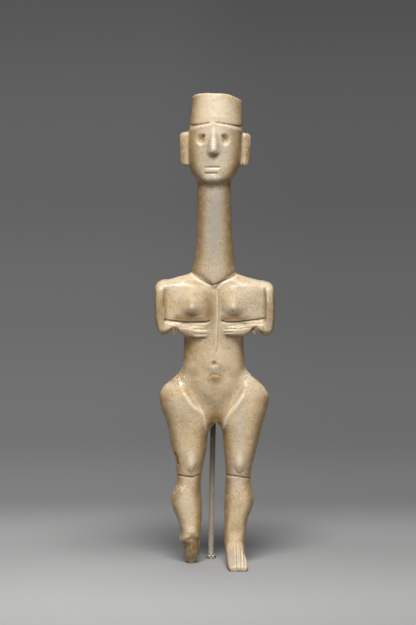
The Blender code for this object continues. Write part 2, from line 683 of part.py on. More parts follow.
def smooth_route(points, steps):
    """A Catmull-Rom curve through the points."""
    ends = [points[0] * 2 - points[1], *points, points[-1] * 2 - points[-2]]
    route = []
    for a, b, c, d in zip(ends, ends[1:], ends[2:], ends[3:]):
        for step in range(steps):
            t = step / steps
            straight = b * 2 + (c - a) * t
            bend = (a * 2 - b * 5 + c * 4 - d) * t**2 + (b * 3 - a - c * 3 + d) * t**3
            route.append((straight + bend) / 2)
    return [*route, points[-1]]


def make_cradle():
    route = smooth_route(wire_route(), ROUTE_STEPS)
    curve = bpy.data.curves.new("mount_cradle", "CURVE")
    curve.dimensions = "3D"
    curve.bevel_depth = WIRE_RADIUS
    curve.bevel_resolution = 2
    curve.use_fill_caps = True
    spline = curve.splines.new("POLY")
    spline.points.add(len(route) - 1)
    for point, place in zip(spline.points, route):
        point.co = (*place, 1.0)
    return add_object("mount_cradle", curve, material("wire paint", (0.36, 0.26, 0.15), 0.3, 0.6))


def make_mount_foot():
    """A small disc with a socket for the rod, turned from one profile."""
    profile = (
        (0, 0),
        (SOCKET_RADIUS, 0),
        (SOCKET_RADIUS, SOCKET_HEIGHT - SOCKET_CHAMFER),
        (SOCKET_RADIUS - SOCKET_CHAMFER, SOCKET_HEIGHT),
        (SOCKET_BORE, SOCKET_HEIGHT),
        (SOCKET_BORE, SOCKET_FLOOR),
        (0, SOCKET_FLOOR),
    )
    shape = bmesh.new()
    verts = [shape.verts.new((x, 0, z)) for x, z in profile]
    edges = [shape.edges.new(pair) for pair in zip(verts, verts[1:])]
    bmesh.ops.spin(shape, geom=verts + edges, cent=(0, 0, 0), axis=(0, 0, 1), angle=2 * math.pi, steps=32)
    bmesh.ops.remove_doubles(shape, verts=shape.verts, dist=1e-6)
    bmesh.ops.recalc_face_normals(shape, faces=shape.faces)
    mesh = bpy.data.meshes.new("mount_foot")
    shape.to_mesh(mesh)
    shape.free()
    mesh.shade_smooth()
    mesh.set_sharp_from_angle(angle=math.radians(30))
    foot = add_object("mount_foot", mesh, material("foot paint", (0.40, 0.36, 0.31), 0.5, 0.2))
    foot.location = (ROD_BASE_X, ROD_BACK, 0)
    return foot


def centre_on_origin(objects):
    """Hangs all the pieces on one empty, placed so that the origin is under the middle of the whole."""
    bpy.context.view_layer.update()
    corners = [obj.matrix_world @ Vector(corner) for obj in objects for corner in obj.bound_box]
    middle = [(min(c[axis] for c in corners) + max(c[axis] for c in corners)) / 2 for axis in (0, 1)]
    holder = bpy.data.objects.new("figurine_on_mount", None)
    bpy.context.scene.collection.objects.link(holder)
    holder.location = (-middle[0], -middle[1], 0)
    for obj in objects:
        obj.parent = holder


clear_scene()
centre_on_origin([make_figurine(), make_rod(), make_cradle(), make_mount_foot()])
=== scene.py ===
"""Looks of the early Cycladic marble figurine and of the rod and wire that hold it up.

The figure is carved again here with finer lines, in the same measure as the solid it stands for:
parts of a millimetre each, +Z up, facing -Y, with +X to the right of someone who faces it.
"""

import math

import bmesh
import bpy
import numpy as np
from mathutils import Matrix, Vector, noise


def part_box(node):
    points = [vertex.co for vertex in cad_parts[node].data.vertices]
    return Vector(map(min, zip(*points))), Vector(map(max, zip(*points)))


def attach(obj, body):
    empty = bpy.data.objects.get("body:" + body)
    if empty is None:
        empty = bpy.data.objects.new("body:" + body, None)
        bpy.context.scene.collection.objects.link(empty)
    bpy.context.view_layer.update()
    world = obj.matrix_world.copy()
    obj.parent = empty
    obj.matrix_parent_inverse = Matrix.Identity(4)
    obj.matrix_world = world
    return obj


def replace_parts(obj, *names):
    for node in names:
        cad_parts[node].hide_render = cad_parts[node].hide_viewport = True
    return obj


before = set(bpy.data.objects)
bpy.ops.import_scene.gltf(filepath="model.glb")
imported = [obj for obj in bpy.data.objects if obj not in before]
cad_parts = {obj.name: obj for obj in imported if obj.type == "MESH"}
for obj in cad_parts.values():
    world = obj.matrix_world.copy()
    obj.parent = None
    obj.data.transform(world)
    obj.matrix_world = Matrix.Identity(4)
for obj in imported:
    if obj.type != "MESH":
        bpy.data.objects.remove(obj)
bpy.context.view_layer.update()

PART = 0.001

# Fineness of the shown surface: the grid, in parts, and how often it is smoothed
VOXEL = 0.51
SMOOTH_STEPS = 5

# Where the mount's foot stands in the figure's measure, which ties the figure to the frame
MOUNT_FOOT_PLACE = (-1.6, 14.15)

# Upright forms, as rows of height, left, right, front and back, in parts
TRUNK = (
    (134.6, -8.6, 8.2, -5.0, 5.0),
    (133.0, -10.6, 9.6, -5.8, 5.4),
    (131.0, -17.8, 15.4, -6.4, 5.8),
    (129.0, -24.0, 22.6, -6.8, 6.0),
    (126.0, -25.6, 25.4, -7.1, 6.2),
    (120.0, -25.6, 25.6, -7.4, 6.4),
    (113.5, -24.0, 24.2, -7.5, 6.4),
    (110.6, -21.0, 21.2, -7.5, 6.2),
    (108.6, -15.6, 15.5, -7.5, 6.0),
    (102.5, -13.7, 13.2, -7.4, 5.8),
    (94.0, -13.9, 13.5, -7.3, 6.0),
    (90.0, -14.9, 14.3, -7.5, 7.0),
    (86.2, -17.7, 17.0, -7.4, 8.4),
    (82.5, -21.6, 21.3, -7.2, 9.2),
    (78.9, -24.2, 23.9, -6.9, 9.4),
    (75.5, -24.6, 24.4, -6.6, 9.0),
    (71.5, -21.5, 21.5, -6.2, 7.6),
    (68.4, -12.8, 13.2, -5.8, 6.4),
    (66.4, -9.4, 10.0, -4.8, 5.6),
    (65.0, -7.4, 8.0, -4.2, 5.0),
)
CHEST = (
    (111.4, -23.0, 23.2, -7.3, 5.0),
    (113.0, -25.2, 25.4, -7.6, 5.6),
    (125.4, -25.6, 25.2, -7.5, 6.0),
    (127.4, -25.0, 24.2, -7.1, 5.6),
    (129.0, -22.8, 21.4, -6.2, 4.8),
    (130.4, -18.4, 16.8, -4.8, 4.0),
)
NECK = (
    (127.6, -1.2, 1.4, -7.6, 4.0),
    (129.4, -4.0, 4.2, -8.1, 5.0),
    (131.4, -7.2, 7.2, -8.2, 5.8),
    (134.0, -9.8, 9.4, -8.1, 6.6),
    (137.2, -9.3, 8.9, -7.9, 7.0),
    (144.4, -8.5, 8.4, -7.7, 7.0),
    (155.3, -7.9, 7.9, -7.5, 6.9),
    (166.2, -7.7, 7.6, -7.4, 6.9),
    (178.0, -7.6, 7.5, -6.0, 7.4),
)
LEFT_ARM = (
    (129.9, -23.2, -18.6, -3.4, 4.0),
    (128.5, -26.0, -20.2, -5.8, 5.4),
    (126.0, -26.9, -21.6, -7.7, 6.2),
    (120.8, -27.1, -22.2, -8.4, 6.2),
    (113.5, -26.7, -22.2, -8.6, 5.4),
    (109.5, -26.2, -20.8, -8.5, 4.8),
    (107.1, -25.2, -20.7, -7.8, 4.0),
    (105.5, -24.2, -21.4, -6.4, 2.6),
)
RIGHT_ARM = (
    (129.3, 18.0, 22.2, -3.4, 4.0),
    (128.2, 20.2, 25.6, -5.8, 5.4),
    (126.0, 21.6, 26.8, -7.7, 6.2),
    (120.8, 22.4, 27.3, -8.4, 6.2),
    (113.5, 22.4, 27.3, -8.6, 5.4),
    (109.0, 20.9, 27.0, -8.5, 4.8),
    (106.6, 20.8, 26.1, -7.8, 4.0),
    (105.0, 21.4, 24.6, -6.4, 2.6),
)
LEFT_LEG = (
    (86.0, -17.0, -5.0, -5.0, 7.0),
    (80.7, -23.4, -2.0, -6.8, 9.0),
    (76.5, -24.8, -0.4, -7.5, 9.6),
    (71.5, -23.9, 0.4, -7.8, 9.2),
    (66.0, -22.0, 1.2, -7.7, 8.2),
    (64.6, -21.6, 0.4, -7.6, 8.0),
    (61.8, -20.9, -2.0, -7.5, 7.6),
    (60.5, -20.6, -2.6, -7.4, 7.4),
    (57.0, -20.0, -3.1, -7.2, 7.0),
    (53.2, -19.3, -3.5, -6.9, 6.4),
    (47.5, -17.5, -4.6, -6.4, 5.6),
    (42.2, -17.1, -5.5, -5.6, 5.2),
    (40.2, -16.9, -5.9, -5.0, 5.4),
    (36.5, -17.5, -6.0, -4.8, 6.4),
    (33.0, -18.7, -6.1, -4.8, 7.4),
    (29.3, -19.5, -5.7, -4.8, 7.8),
    (25.6, -18.9, -5.5, -4.6, 7.2),
    (21.0, -17.0, -5.7, -4.4, 5.8),
    (14.6, -15.4, -6.2, -4.2, 4.6),
    (11.0, -16.1, -6.5, -4.0, 4.6),
    (8.8, -14.0, -6.4, -3.4, 5.0),
    (5.3, -13.8, -6.7, -2.4, 5.8),
    (3.4, -13.6, -7.0, -1.4, 6.2),
    (1.8, -12.9, -7.9, -0.4, 6.6),
    (-0.8, -12.4, -8.4, 0.8, 7.0),
)
RIGHT_LEG = (
    (86.0, 5.0, 16.5, -5.0, 7.0),
    (80.7, 2.0, 23.0, -6.8, 9.0),
    (76.5, 0.6, 24.7, -7.5, 9.6),
    (71.5, 0.4, 24.0, -7.8, 9.2),
    (66.0, 0.4, 22.5, -7.7, 8.2),
    (64.8, 1.1, 22.1, -7.6, 8.0),
    (62.4, 3.0, 21.4, -7.5, 7.6),
    (60.5, 3.6, 20.9, -7.4, 7.4),
    (57.0, 4.0, 20.1, -7.2, 7.0),
    (53.2, 4.4, 19.2, -6.9, 6.4),
    (47.5, 4.8, 17.7, -6.4, 5.6),
    (42.2, 5.2, 16.6, -5.6, 5.2),
    (39.0, 5.1, 16.4, -5.0, 5.6),
    (34.8, 4.9, 17.1, -4.8, 6.8),
    (29.3, 4.6, 18.0, -4.8, 7.8),
    (25.6, 4.5, 17.3, -4.6, 7.2),
    (21.0, 4.5, 15.4, -4.4, 5.8),
    (16.0, 4.5, 14.5, -4.8, 5.0),
    (11.0, 4.5, 14.1, -6.2, 5.2),
    (6.0, 4.8, 13.4, -8.0, 6.0),
    (-0.8, 5.8, 13.6, -6.0, 6.0),
)

# Level forms: the forearms run along X, as rows of X, bottom, top, front and back
SEAT_LEFT = -17.8
SEAT_RIGHT = 18.1
SEAT_HEIGHT = 108.7
FOREARM_FRONT = -8.5
LEFT_FOREARM = (
    (-25.0, 107.6, 111.4, -7.8, 3.0),
    (-22.2, 105.9, 112.0, FOREARM_FRONT, 4.0),
    (-21.0, 106.5, 111.7, FOREARM_FRONT, 4.0),
    (-19.6, 107.6, 111.4, FOREARM_FRONT, 4.0),
    (-18.9, 108.5, 111.3, FOREARM_FRONT, 4.0),
    (SEAT_LEFT, SEAT_HEIGHT, 111.1, FOREARM_FRONT, 4.0),
    (-16.7, 108.5, 110.9, FOREARM_FRONT, 3.0),
    (-16.0, 107.2, 110.8, FOREARM_FRONT, 2.0),
    (-13.4, 105.0, 110.5, FOREARM_FRONT, 0.0),
    (-10.9, 104.2, 110.2, FOREARM_FRONT, 0.0),
    (-7.0, 103.7, 109.9, FOREARM_FRONT, 0.0),
    (-4.4, 103.9, 109.5, -8.3, 0.0),
    (-2.9, 104.6, 109.1, -7.5, 0.0),
)
RIGHT_FOREARM = (
    (3.9, 105.4, 109.4, -7.5, 0.0),
    (5.4, 105.0, 109.8, -8.3, 0.0),
    (9.4, 104.7, 110.1, FOREARM_FRONT, 0.0),
    (13.2, 104.9, 110.5, FOREARM_FRONT, 0.0),
    (16.3, 107.2, 110.9, FOREARM_FRONT, 2.0),
    (17.0, 108.5, 111.0, FOREARM_FRONT, 3.0),
    (SEAT_RIGHT, SEAT_HEIGHT, 111.2, FOREARM_FRONT, 4.0),
    (19.2, 108.5, 111.5, FOREARM_FRONT, 4.0),
    (19.9, 107.6, 111.6, FOREARM_FRONT, 4.0),
    (21.2, 106.4, 111.9, FOREARM_FRONT, 4.0),
    (22.8, 105.6, 112.2, FOREARM_FRONT, 4.0),
    (25.4, 106.8, 111.6, -7.8, 3.0),
)

# The foot runs along Y, as rows of Y, left, right, bottom and top
FOOT = (
    (6.6, 6.8, 12.4, -0.8, 4.0),
    (5.4, 5.6, 13.6, -0.8, 8.0),
    (1.0, 5.1, 14.0, -0.8, 12.0),
    (-2.6, 5.0, 13.8, -0.8, 12.6),
    (-5.6, 5.1, 13.8, -0.8, 10.9),
    (-9.0, 5.3, 14.0, -0.8, 9.2),
    (-12.5, 5.6, 14.6, -0.8, 7.4),
    (-16.0, 6.0, 15.1, -0.8, 5.2),
    (-19.0, 6.4, 15.0, -0.8, 3.4),
    (-20.4, 7.2, 14.2, -0.8, 2.4),
)

# The head leans back about its chin. Its rows are height up the head, left, right, front and back.
HEAD_PLACE = (0.0, -1.5, 170.5)
HEAD_TILT = 13.0
HEAD = (
    (2.3, -4.4, 3.8, -7.2, 4.0),
    (3.7, -6.6, 6.2, -8.5, 5.2),
    (5.2, -8.1, 8.1, -9.1, 6.4),
    (7.2, -9.7, 9.5, -9.5, 7.6),
    (10.4, -11.1, 11.0, -9.7, 8.8),
    (14.5, -11.7, 11.9, -9.8, 9.7),
    (21.0, -12.1, 12.5, -9.9, 10.4),
    (28.2, -11.4, 12.8, -10.4, 10.6),
    (29.2, -11.3, 12.8, -10.3, 10.6),
    (30.4, -11.1, 12.8, -9.8, 10.5),
    (39.0, -10.4, 12.6, -8.5, 10.0),
    (46.0, -10.0, 12.1, -7.3, 9.6),
)
NOSE = (
    (14.6, -2.6, 1.8, -10.6, -5.0),
    (15.6, -3.4, 2.6, -12.6, -5.0),
    (18.0, -3.1, 2.3, -12.2, -5.0),
    (22.0, -2.6, 1.8, -11.3, -5.0),
    (28.0, -2.0, 1.2, -10.5, -5.0),
)
LEFT_EAR = (
    (11.2, -14.2, -10.0, -1.4, 1.8),
    (12.6, -15.4, -10.0, -2.2, 2.6),
    (25.0, -15.8, -10.0, -2.2, 2.6),
    (26.7, -14.4, -10.0, -1.4, 1.8),
)
RIGHT_EAR = (
    (11.0, 10.0, 14.8, -1.4, 1.8),
    (12.4, 10.0, 15.8, -2.2, 2.6),
    (24.4, 10.0, 16.7, -2.2, 2.6),
    (26.0, 10.0, 15.4, -1.4, 1.8),
)
CAP_TOP = (0.0, 1.0, 214.2)
CAP_TILT = 12.5
CAP_ROLL = 2.6
CAP_WEAR = (((-6.5, 205.0), (-11.0, 212.0), 1.2), ((4.5, 200.0), (13.0, 211.0), 1.7))

# Buttocks, each a ball with a centre and radii
BUTTOCK_CENTRES = ((-9.6, 4.0, 76.5), (9.6, 4.0, 76.5))
BUTTOCK_RADII = (12.0, 8.4, 11.0)

# Lines cut on the front, as X and Z points
NECKLINE = (
    (-10.4, 133.6),
    (-6.6, 131.1),
    (-3.4, 129.4),
    (-0.7, 128.6),
    (2.0, 129.3),
    (5.1, 130.8),
    (10.4, 132.9),
)
CAP_LINES = (
    ((-12.2, 199.6), (-6.9, 200.6), (-2.6, 201.3)),
    ((1.0, 201.5), (6.1, 200.8), (13.0, 199.2)),
)
MOUTH_UPPER = ((-4.2, 181.7), (2.1, 181.7))
MOUTH_LOWER = ((-4.2, 179.0), (1.0, 179.0))
MEDIAN_LINE = ((2.0, 126.0), (1.8, 112.0), (1.5, 104.0), (1.0, 98.0))
ARM_EDGES = (((-21.8, 126.0), (-21.8, 112.8)), ((22.8, 127.0), (22.2, 113.2)))
CHEST_EDGES = (
    ((-22.2, 112.5), (-12.5, 111.5), (-4.0, 111.6), (-2.4, 112.1)),
    ((22.2, 113.1), (9.7, 111.6), (5.0, 111.8), (3.4, 112.3)),
)
FINGERS = (
    ((-8.9, 108.6), (-3.6, 108.4)),
    ((-8.9, 106.6), (-3.6, 106.4)),
    ((-6.4, 104.5), (-3.6, 104.4)),
    ((4.4, 108.5), (9.4, 108.8)),
    ((4.4, 107.0), (8.4, 107.2)),
)
EYES = (((-6.0, 193.9), (-4.9, 195.4)), ((5.0, 193.9), (4.0, 195.4)))
CHIN = (-0.8, 176.6)
EAR_CREASES = (((-12.0, 197.0), (-11.9, 183.0)), ((12.7, 196.0), (12.6, 182.0)))
BREASTS = ((-10.0, 118.6), (8.6, 118.6))
BELLY = (0.4, 93.0)
THIGHS = ((-11.0, 54.0), (12.4, 54.0))
KNEES = ((-10.3, 46.8), (11.4, 46.8))
NAVEL = (-0.1, 92.9)
PUBIC_ARC = ((-2.4, 86.9), (-1.7, 87.8), (-0.3, 88.3), (1.7, 87.9), (3.2, 87.2))
GROIN_LEFT = ((-16.8, 84.0), (-13.1, 77.8), (-9.7, 73.2), (-5.7, 69.8), (-4.0, 66.3), (-3.1, 61.2))
GROIN_RIGHT = ((16.4, 84.0), (12.6, 77.2), (8.6, 71.5), (5.2, 66.9), (4.0, 62.5))
KNEE_LINES = (
    ((-17.6, 41.4), (-9.6, 40.7), (-5.0, 41.9)),
    ((4.4, 41.5), (11.6, 41.0), (17.0, 39.6)),
)
BROKEN_KNOB = (-10.4, 15.6)
BROKEN_EDGE = ((-16.4, 11.2), (-13.4, 12.6), (-10.6, 13.4), (-8.4, 13.4), (-6.0, 12.4))
TOES = (
    ((9.9, 10.4), (9.9, -1.0)),
    ((11.9, 8.4), (12.1, -1.0)),
    ((13.4, 7.0), (13.5, -1.0)),
)

# Lines cut on the back, which are the spine, the cleft, the nape and the cap's edge: the path, how wide
# and deep it is cut, and how wide and strong its soil is
BACK_LINES = (
    (((0.2, 131.0), (0.2, 86.0)), 2.4, 0.7, 2.6, 0.35),
    (((0.2, 84.0), (0.4, 66.0)), 2.6, 1.4, 2.6, 0.6),
    (((-8.6, 133.6), (0.0, 131.6), (8.4, 133.2)), 1.6, 0.6, 1.6, 0.7),
    (((-13.0, 197.8), (0.0, 195.0), (13.6, 197.2)), 1.6, 0.6, 1.6, 0.7),
)

# Finer marks, as X and Z points
BROWS = (
    ((-12.6, 198.1), (-6.0, 199.9), (-1.6, 201.0)),
    ((1.5, 201.0), (6.5, 199.9), (13.2, 197.9)),
)
NOSE_PITS = ((-1.8, 188.4), (-0.6, 188.1), (0.7, 188.6), (0.1, 187.2), (-1.2, 187.1), (-0.2, 189.0))
NOSE_BRIDGE = (-0.4, 193.0)
UNDER_CHIN = ((-5.4, 174.9), (-3.6, 173.7))
SCRATCH = ((-5.9, 119.8), (-2.4, 122.3))
BREAST_PIT = (8.4, 116.9)
FINGER_LINES = (
    ((-21.0, 110.2), (-16.3, 109.6), (-9.5, 108.9), (-4.0, 108.6)),
    ((-9.2, 106.7), (-3.8, 106.5)),
    ((-6.6, 104.5), (-3.8, 104.3)),
    ((5.0, 108.7), (11.5, 108.9), (19.0, 109.9)),
    ((5.0, 107.3), (8.0, 107.4)),
    ((5.6, 106.1), (8.4, 106.0)),
)
KNEE_EDGES = (
    ((-11.6, 44.2), (-10.4, 42.6), (-9.4, 43.8), (-8.2, 46.8)),
    ((9.4, 45.2), (10.4, 43.2), (11.4, 42.5), (13.0, 43.8)),
)
# Painted contact shadows where the front of the toes and the broken heel meet the floor
TOE_TIP_SHADOW = ((6.8, 0.0), (15.0, 0.0))
HEEL_TIP_SHADOW = ((-12.8, 0.0), (-8.0, 0.0))
# Pale lines along edges: worn crests, and painted highlights along ledges that face up to the light, such
# as the forearms' tops, the neckline, the groin and the brows
WORN_AND_LIT_EDGE_WIDTH = 1.0
WORN_AND_LIT_EDGE_SHARE = 0.8
WORN_AND_LIT_EDGES = (
    ((-22.9, 118.5), (-22.8, 112.8)),
    ((24.0, 126.0), (24.0, 121.0)),
    ((21.9, 115.0), (21.9, 113.0)),
    ((-22.0, 111.3), (-14.0, 110.6), (-4.0, 110.6)),
    ((4.4, 111.2), (10.0, 110.6), (21.5, 112.2)),
    ((-9.8, 132.2), (-5.6, 129.4), (-1.8, 127.6)),
    ((1.6, 127.4), (4.0, 129.2), (9.4, 131.8)),
    ((1.3, 124.0), (1.1, 112.0), (0.8, 101.0)),
    ((-7.4, 74.0), (-4.9, 69.5), (-3.9, 62.8)),
    ((8.4, 73.0), (6.0, 68.8), (3.9, 62.8)),
    ((-9.0, 107.5), (-3.8, 107.3)),
    ((-9.0, 105.5), (-3.8, 105.3)),
    ((4.6, 107.9), (9.0, 108.0)),
    ((-4.2, 180.5), (2.0, 180.6)),
    ((-4.4, 177.3), (3.0, 177.4)),
    ((-11.8, 197.6), (-6.0, 199.4), (-1.6, 200.5)),
    ((1.5, 200.5), (6.5, 199.4), (12.6, 197.4)),
)
# Bands of painted shadow under the breasts, with some brown soil
UNDER_BREASTS = (
    ((-16.5, 113.2), (-10.0, 112.8), (-4.5, 112.4)),
    ((4.0, 113.2), (9.0, 112.8), (14.5, 113.0)),
)
THIGH_CHIP = ((-17.9, 51.6), (-16.9, 49.4), (-16.4, 46.4))
CALF_CHIP = (-18.9, 33.8)
BROKEN_FACE = (-10.5, 8.6)

# Patches of the stone's layers, each as a centre, radii across, up and down, and a share
WORN_PATCHES = (
    ((-15.8, 85.2), (6.0, 5.0, 5.0), 0.7),
    ((15.6, 86.6), (5.6, 4.6, 4.6), 1.0),
    ((-10.2, 15.8), (2.8, 1.8, 2.4), 0.9),
    ((-14.6, 35.8), (4.2, 2.6, 3.2), 0.9),
    ((-0.4, 177.0), (5.2, 1.3, 2.2), 0.9),
    ((-0.6, 190.0), (1.8, 1.2, 0.9), 0.9),
    ((-13.9, 190.0), (0.9, 6.0, 6.0), 0.5),
    ((14.7, 190.0), (0.9, 6.0, 6.0), 0.5),
    ((-2.6, 165.0), (0.8, 0.8, 0.8), 0.9),
    ((-3.4, 177.2), (1.9, 1.9, 2.2), 0.9),
    ((13.4, 124.0), (5.0, 4.0, 4.0), 0.25),
    ((-14.0, 123.0), (7.0, 4.0, 4.0), 0.3),
    ((9.8, 33.0), (5.0, 4.0, 4.0), 0.3),
)
# Brown patches: stains in the stone, and painted shade under the nose, on the ears, at the foot of the
# neck, on the left breast and under both breasts, on the waist's sides and in the crotch
STAIN_AND_SHADE_PATCHES = (
    ((-0.6, 186.6), (3.6, 1.8, 2.4), 0.8),
    ((-14.2, 188.0), (3.6, 15.0, 13.0), 0.85),
    ((15.0, 188.0), (3.6, 15.0, 13.0), 0.9),
    ((0.2, 128.6), (4.2, 3.0, 3.4), 0.35),
    ((-8.6, 124.4), (1.4, 0.7, 0.7), 0.55),
    ((-4.6, 124.0), (1.0, 0.8, 0.8), 0.5),
    ((-1.6, 121.6), (1.0, 1.0, 1.0), 0.45),
    ((-10.6, 114.8), (7.4, 2.8, 3.0), 0.95),
    ((9.0, 114.6), (7.0, 2.6, 3.0), 0.85),
    ((-24.8, 117.0), (4.6, 14.0, 13.0), 0.75),
    ((25.2, 117.0), (4.2, 12.0, 12.0), 0.6),
    ((0.0, 98.0), (34.0, 24.0, 30.0), 0.18),
    ((-10.0, 118.0), (9.0, 7.0, 6.0), 0.15),
    ((-10.5, 120.0), (5.0, 3.6, 3.6), 0.25),
    ((-14.6, 101.0), (11.0, 15.0, 14.0), 1.0),
    ((15.0, 101.0), (6.0, 10.0, 10.0), 0.9),
    ((-9.5, 100.0), (7.0, 8.0, 11.0), 0.5),
    ((-2.4, 116.0), (5.4, 14.0, 12.0), 0.8),
    ((3.6, 120.0), (3.0, 8.0, 8.0), 0.35),
    ((-10.0, 89.0), (8.0, 6.0, 5.0), 0.45),
    ((10.0, 88.0), (7.0, 5.0, 5.0), 0.35),
    ((-10.5, 206.0), (2.6, 9.0, 8.0), 0.4),
    ((12.4, 205.0), (2.2, 9.0, 8.0), 0.3),
    ((0.0, 82.0), (4.0, 4.0, 5.0), 0.35),
    ((0.0, 98.0), (10.0, 9.0, 9.0), 0.25),
    ((-16.6, 87.0), (8.0, 7.0, 7.0), 0.75),
    ((-12.0, 66.0), (8.0, 12.0, 12.0), 0.2),
    ((9.4, 17.0), (7.0, 7.0, 6.0), 0.55),
    ((11.0, 30.0), (5.0, 9.0, 9.0), 0.2),
    ((0.3, 85.8), (6.0, 2.6, 5.0), 0.75),
    ((-7.5, 91.0), (6.0, 6.0, 5.0), 0.2),
    ((0.4, 76.0), (11.0, 10.0, 10.0), 0.45),
    ((0.5, 65.0), (9.0, 14.0, 8.0), 1.0),
    ((-10.4, 3.0), (6.0, 2.6, 4.0), 0.7),
    ((-10.4, 8.0), (7.0, 5.0, 6.0), 0.5),
    ((10.5, 8.0), (9.0, 12.0, 10.0), 0.35),
    ((-15.0, 48.0), (3.6, 6.0, 5.0), 0.3),
    ((6.9, 25.3), (0.7, 0.9, 0.9), 0.8),
    ((7.0, 48.8), (0.5, 0.5, 0.5), 0.8),
    ((-12.8, 181.0), (1.4, 2.0, 2.0), 0.5),
)
GREY_PLACES = (
    ((0.0, 158.0), (7.5, 40.0, 40.0), 0.9),
    ((0.0, 187.0), (11.0, 9.0, 13.0), 0.6),
    ((11.6, 66.0), (4.5, 22.0, 22.0), 0.6),
    ((9.8, 5.0), (7.0, 6.0, 9.0), 1.0),
)
# Pale patches: paler stone, and painted highlights on the brow, the bridge of the nose, the tips of the
# breasts, the belly, the lower rim of the navel and the kneecaps
PALE_PLACES = (
    ((0.0, 207.0), (12.0, 9.0, 9.0), 0.7),
    ((0.0, 197.6), (7.0, 4.0, 4.4), 1.0),
    ((4.0, 184.0), (9.0, 10.0, 9.0), 0.25),
    ((-15.5, 124.6), (7.0, 4.0, 4.4), 0.9),
    ((14.6, 124.6), (7.0, 4.0, 4.4), 0.6),
    ((-0.4, 192.0), (3.0, 9.0, 5.0), 0.8),
    ((-10.4, 118.0), (2.4, 2.6, 2.2), 0.4),
    ((8.6, 118.6), (2.0, 3.0, 1.8), 0.4),
    ((-12.0, 31.0), (5.0, 8.0, 8.0), 0.3),
    ((11.0, 66.0), (3.0, 18.0, 16.0), 0.2),
    ((4.0, 96.0), (6.0, 7.0, 6.0), 0.5),
    ((-0.5, 90.6), (4.6, 2.4, 2.6), 0.9),
    ((-10.3, 47.0), (2.2, 9.0, 3.6), 0.6),
    ((11.4, 47.0), (2.2, 9.0, 3.6), 0.8),
)

# Unevenness of the stone, as amplitude and width, in parts, and its noise: how slowly the octaves
# fade, how much finer each is, and how many there are
HAND_WORK = (0.16, 11.0)
WEATHERING = (0.07, 2.6)
ROUGH_BREAK = (0.28, 1.5)
ROUGH_WEAR = (0.16, 1.2)
OCTAVES = (0.9, 2.0, 3)

# Soil in crevices and wear on crests: how often the surface is smoothed to find them, and the depth
# and height, in parts, at which each is full
CREVICE_PASSES = 2
CREVICE_DEPTH = 0.10
CREVICE_SOIL = 0.3
CREST_DEPTH = 0.3

# Painted shade on flanks, though not in the middle of the face, and on undersides: how strong it is, the
# share of the normal at which it starts, and over how much more it grows
FLANK_SHADE = 0.78
FLANK_START = 0.25
UNDER_SHADE = 0.9
UNDER_START = 0.1
TURN = 0.6
FACE_MIDDLE = (0.0, 190.0)
FACE_RADII = (9.0, 12.0, 12.0)

# What each point of the stone carries for the marble, and the sides that the carver works from
LAYERS = ("soil_and_shade", "wear", "stain_and_shade", "broken", "crest", "grey", "pale")
FRONT = -1
BACK = 1


def fill_in(rows, step):
    """The rows with more between them, on a smooth curve that never swings past a row."""
    rows = np.array(sorted(rows), float)
    place = rows[:, 0]
    gaps = np.diff(place)
    slopes = np.diff(rows, axis=0) / gaps[:, None]
    tangents = np.zeros_like(rows)
    tangents[0] = slopes[0]
    tangents[-1] = slopes[-1]
    before, after = slopes[:-1], slopes[1:]
    same_way = before * after > 0
    total = np.where(same_way, before + after, 1.0)
    tangents[1:-1] = np.where(same_way, 2 * before * after / total, 0.0)
    count = max(2, math.ceil((place[-1] - place[0]) / step) + 1)
    wanted = np.linspace(place[0], place[-1], count)
    index = np.clip(np.searchsorted(place, wanted, side="right") - 1, 0, len(gaps) - 1)
    gap = gaps[index][:, None]
    t = (wanted - place[index])[:, None] / gap
    start = (2 * t**3 - 3 * t**2 + 1) * rows[index] + (t**3 - 2 * t**2 + t) * gap * tangents[index]
    end = (3 * t**2 - 2 * t**3) * rows[index + 1] + (t**3 - t**2) * gap * tangents[index + 1]
    return start + end


def smooth_step(value):
    value = np.clip(value, 0.0, 1.0)
    return value * value * (3 - 2 * value)


def loft(shells, rows, axes="XYZ", squareness=2.4, sides=48, step=1.0):
    """A closed shell through rows of place, low and high across, low and high deep, added to the shells.

    The axes name the directions across, deep and along, in that order.
    """
    across_axis, deep_axis, along_axis = ("XYZ".index(name) for name in axes)
    angles = np.linspace(0, 2 * np.pi, sides, endpoint=False)
    ring_across = np.sign(np.cos(angles)) * np.abs(np.cos(angles)) ** (2 / squareness)
    ring_deep = np.sign(np.sin(angles)) * np.abs(np.sin(angles)) ** (2 / squareness)
    rings = []
    for place, low, high, near, far in fill_in(rows, step):
        points = np.empty((sides, 3))
        points[:, across_axis] = (low + high) / 2 + (high - low) / 2 * ring_across
        points[:, deep_axis] = (near + far) / 2 + (far - near) / 2 * ring_deep
        points[:, along_axis] = place
        rings.append([shells.verts.new(point) for point in points])
    faces = [shells.faces.new(rings[0]), shells.faces.new(rings[-1])]
    for lower, upper in zip(rings, rings[1:]):
        for side in range(sides):
            after = (side + 1) % sides
            faces.append(shells.faces.new((lower[side], lower[after], upper[after], upper[side])))
    bmesh.ops.recalc_face_normals(shells, faces=faces)
    return [vert for ring in rings for vert in ring]


def ball(shells, centre, radii):
    made = bmesh.ops.create_uvsphere(shells, u_segments=32, v_segments=20, radius=1.0)
    matrix = Matrix.Translation(centre) @ Matrix.Diagonal((*radii, 1.0))
    bmesh.ops.transform(shells, matrix=matrix, verts=made["verts"])


def head_matrix():
    return Matrix.Translation(HEAD_PLACE) @ Matrix.Rotation(math.radians(-HEAD_TILT), 4, "X")


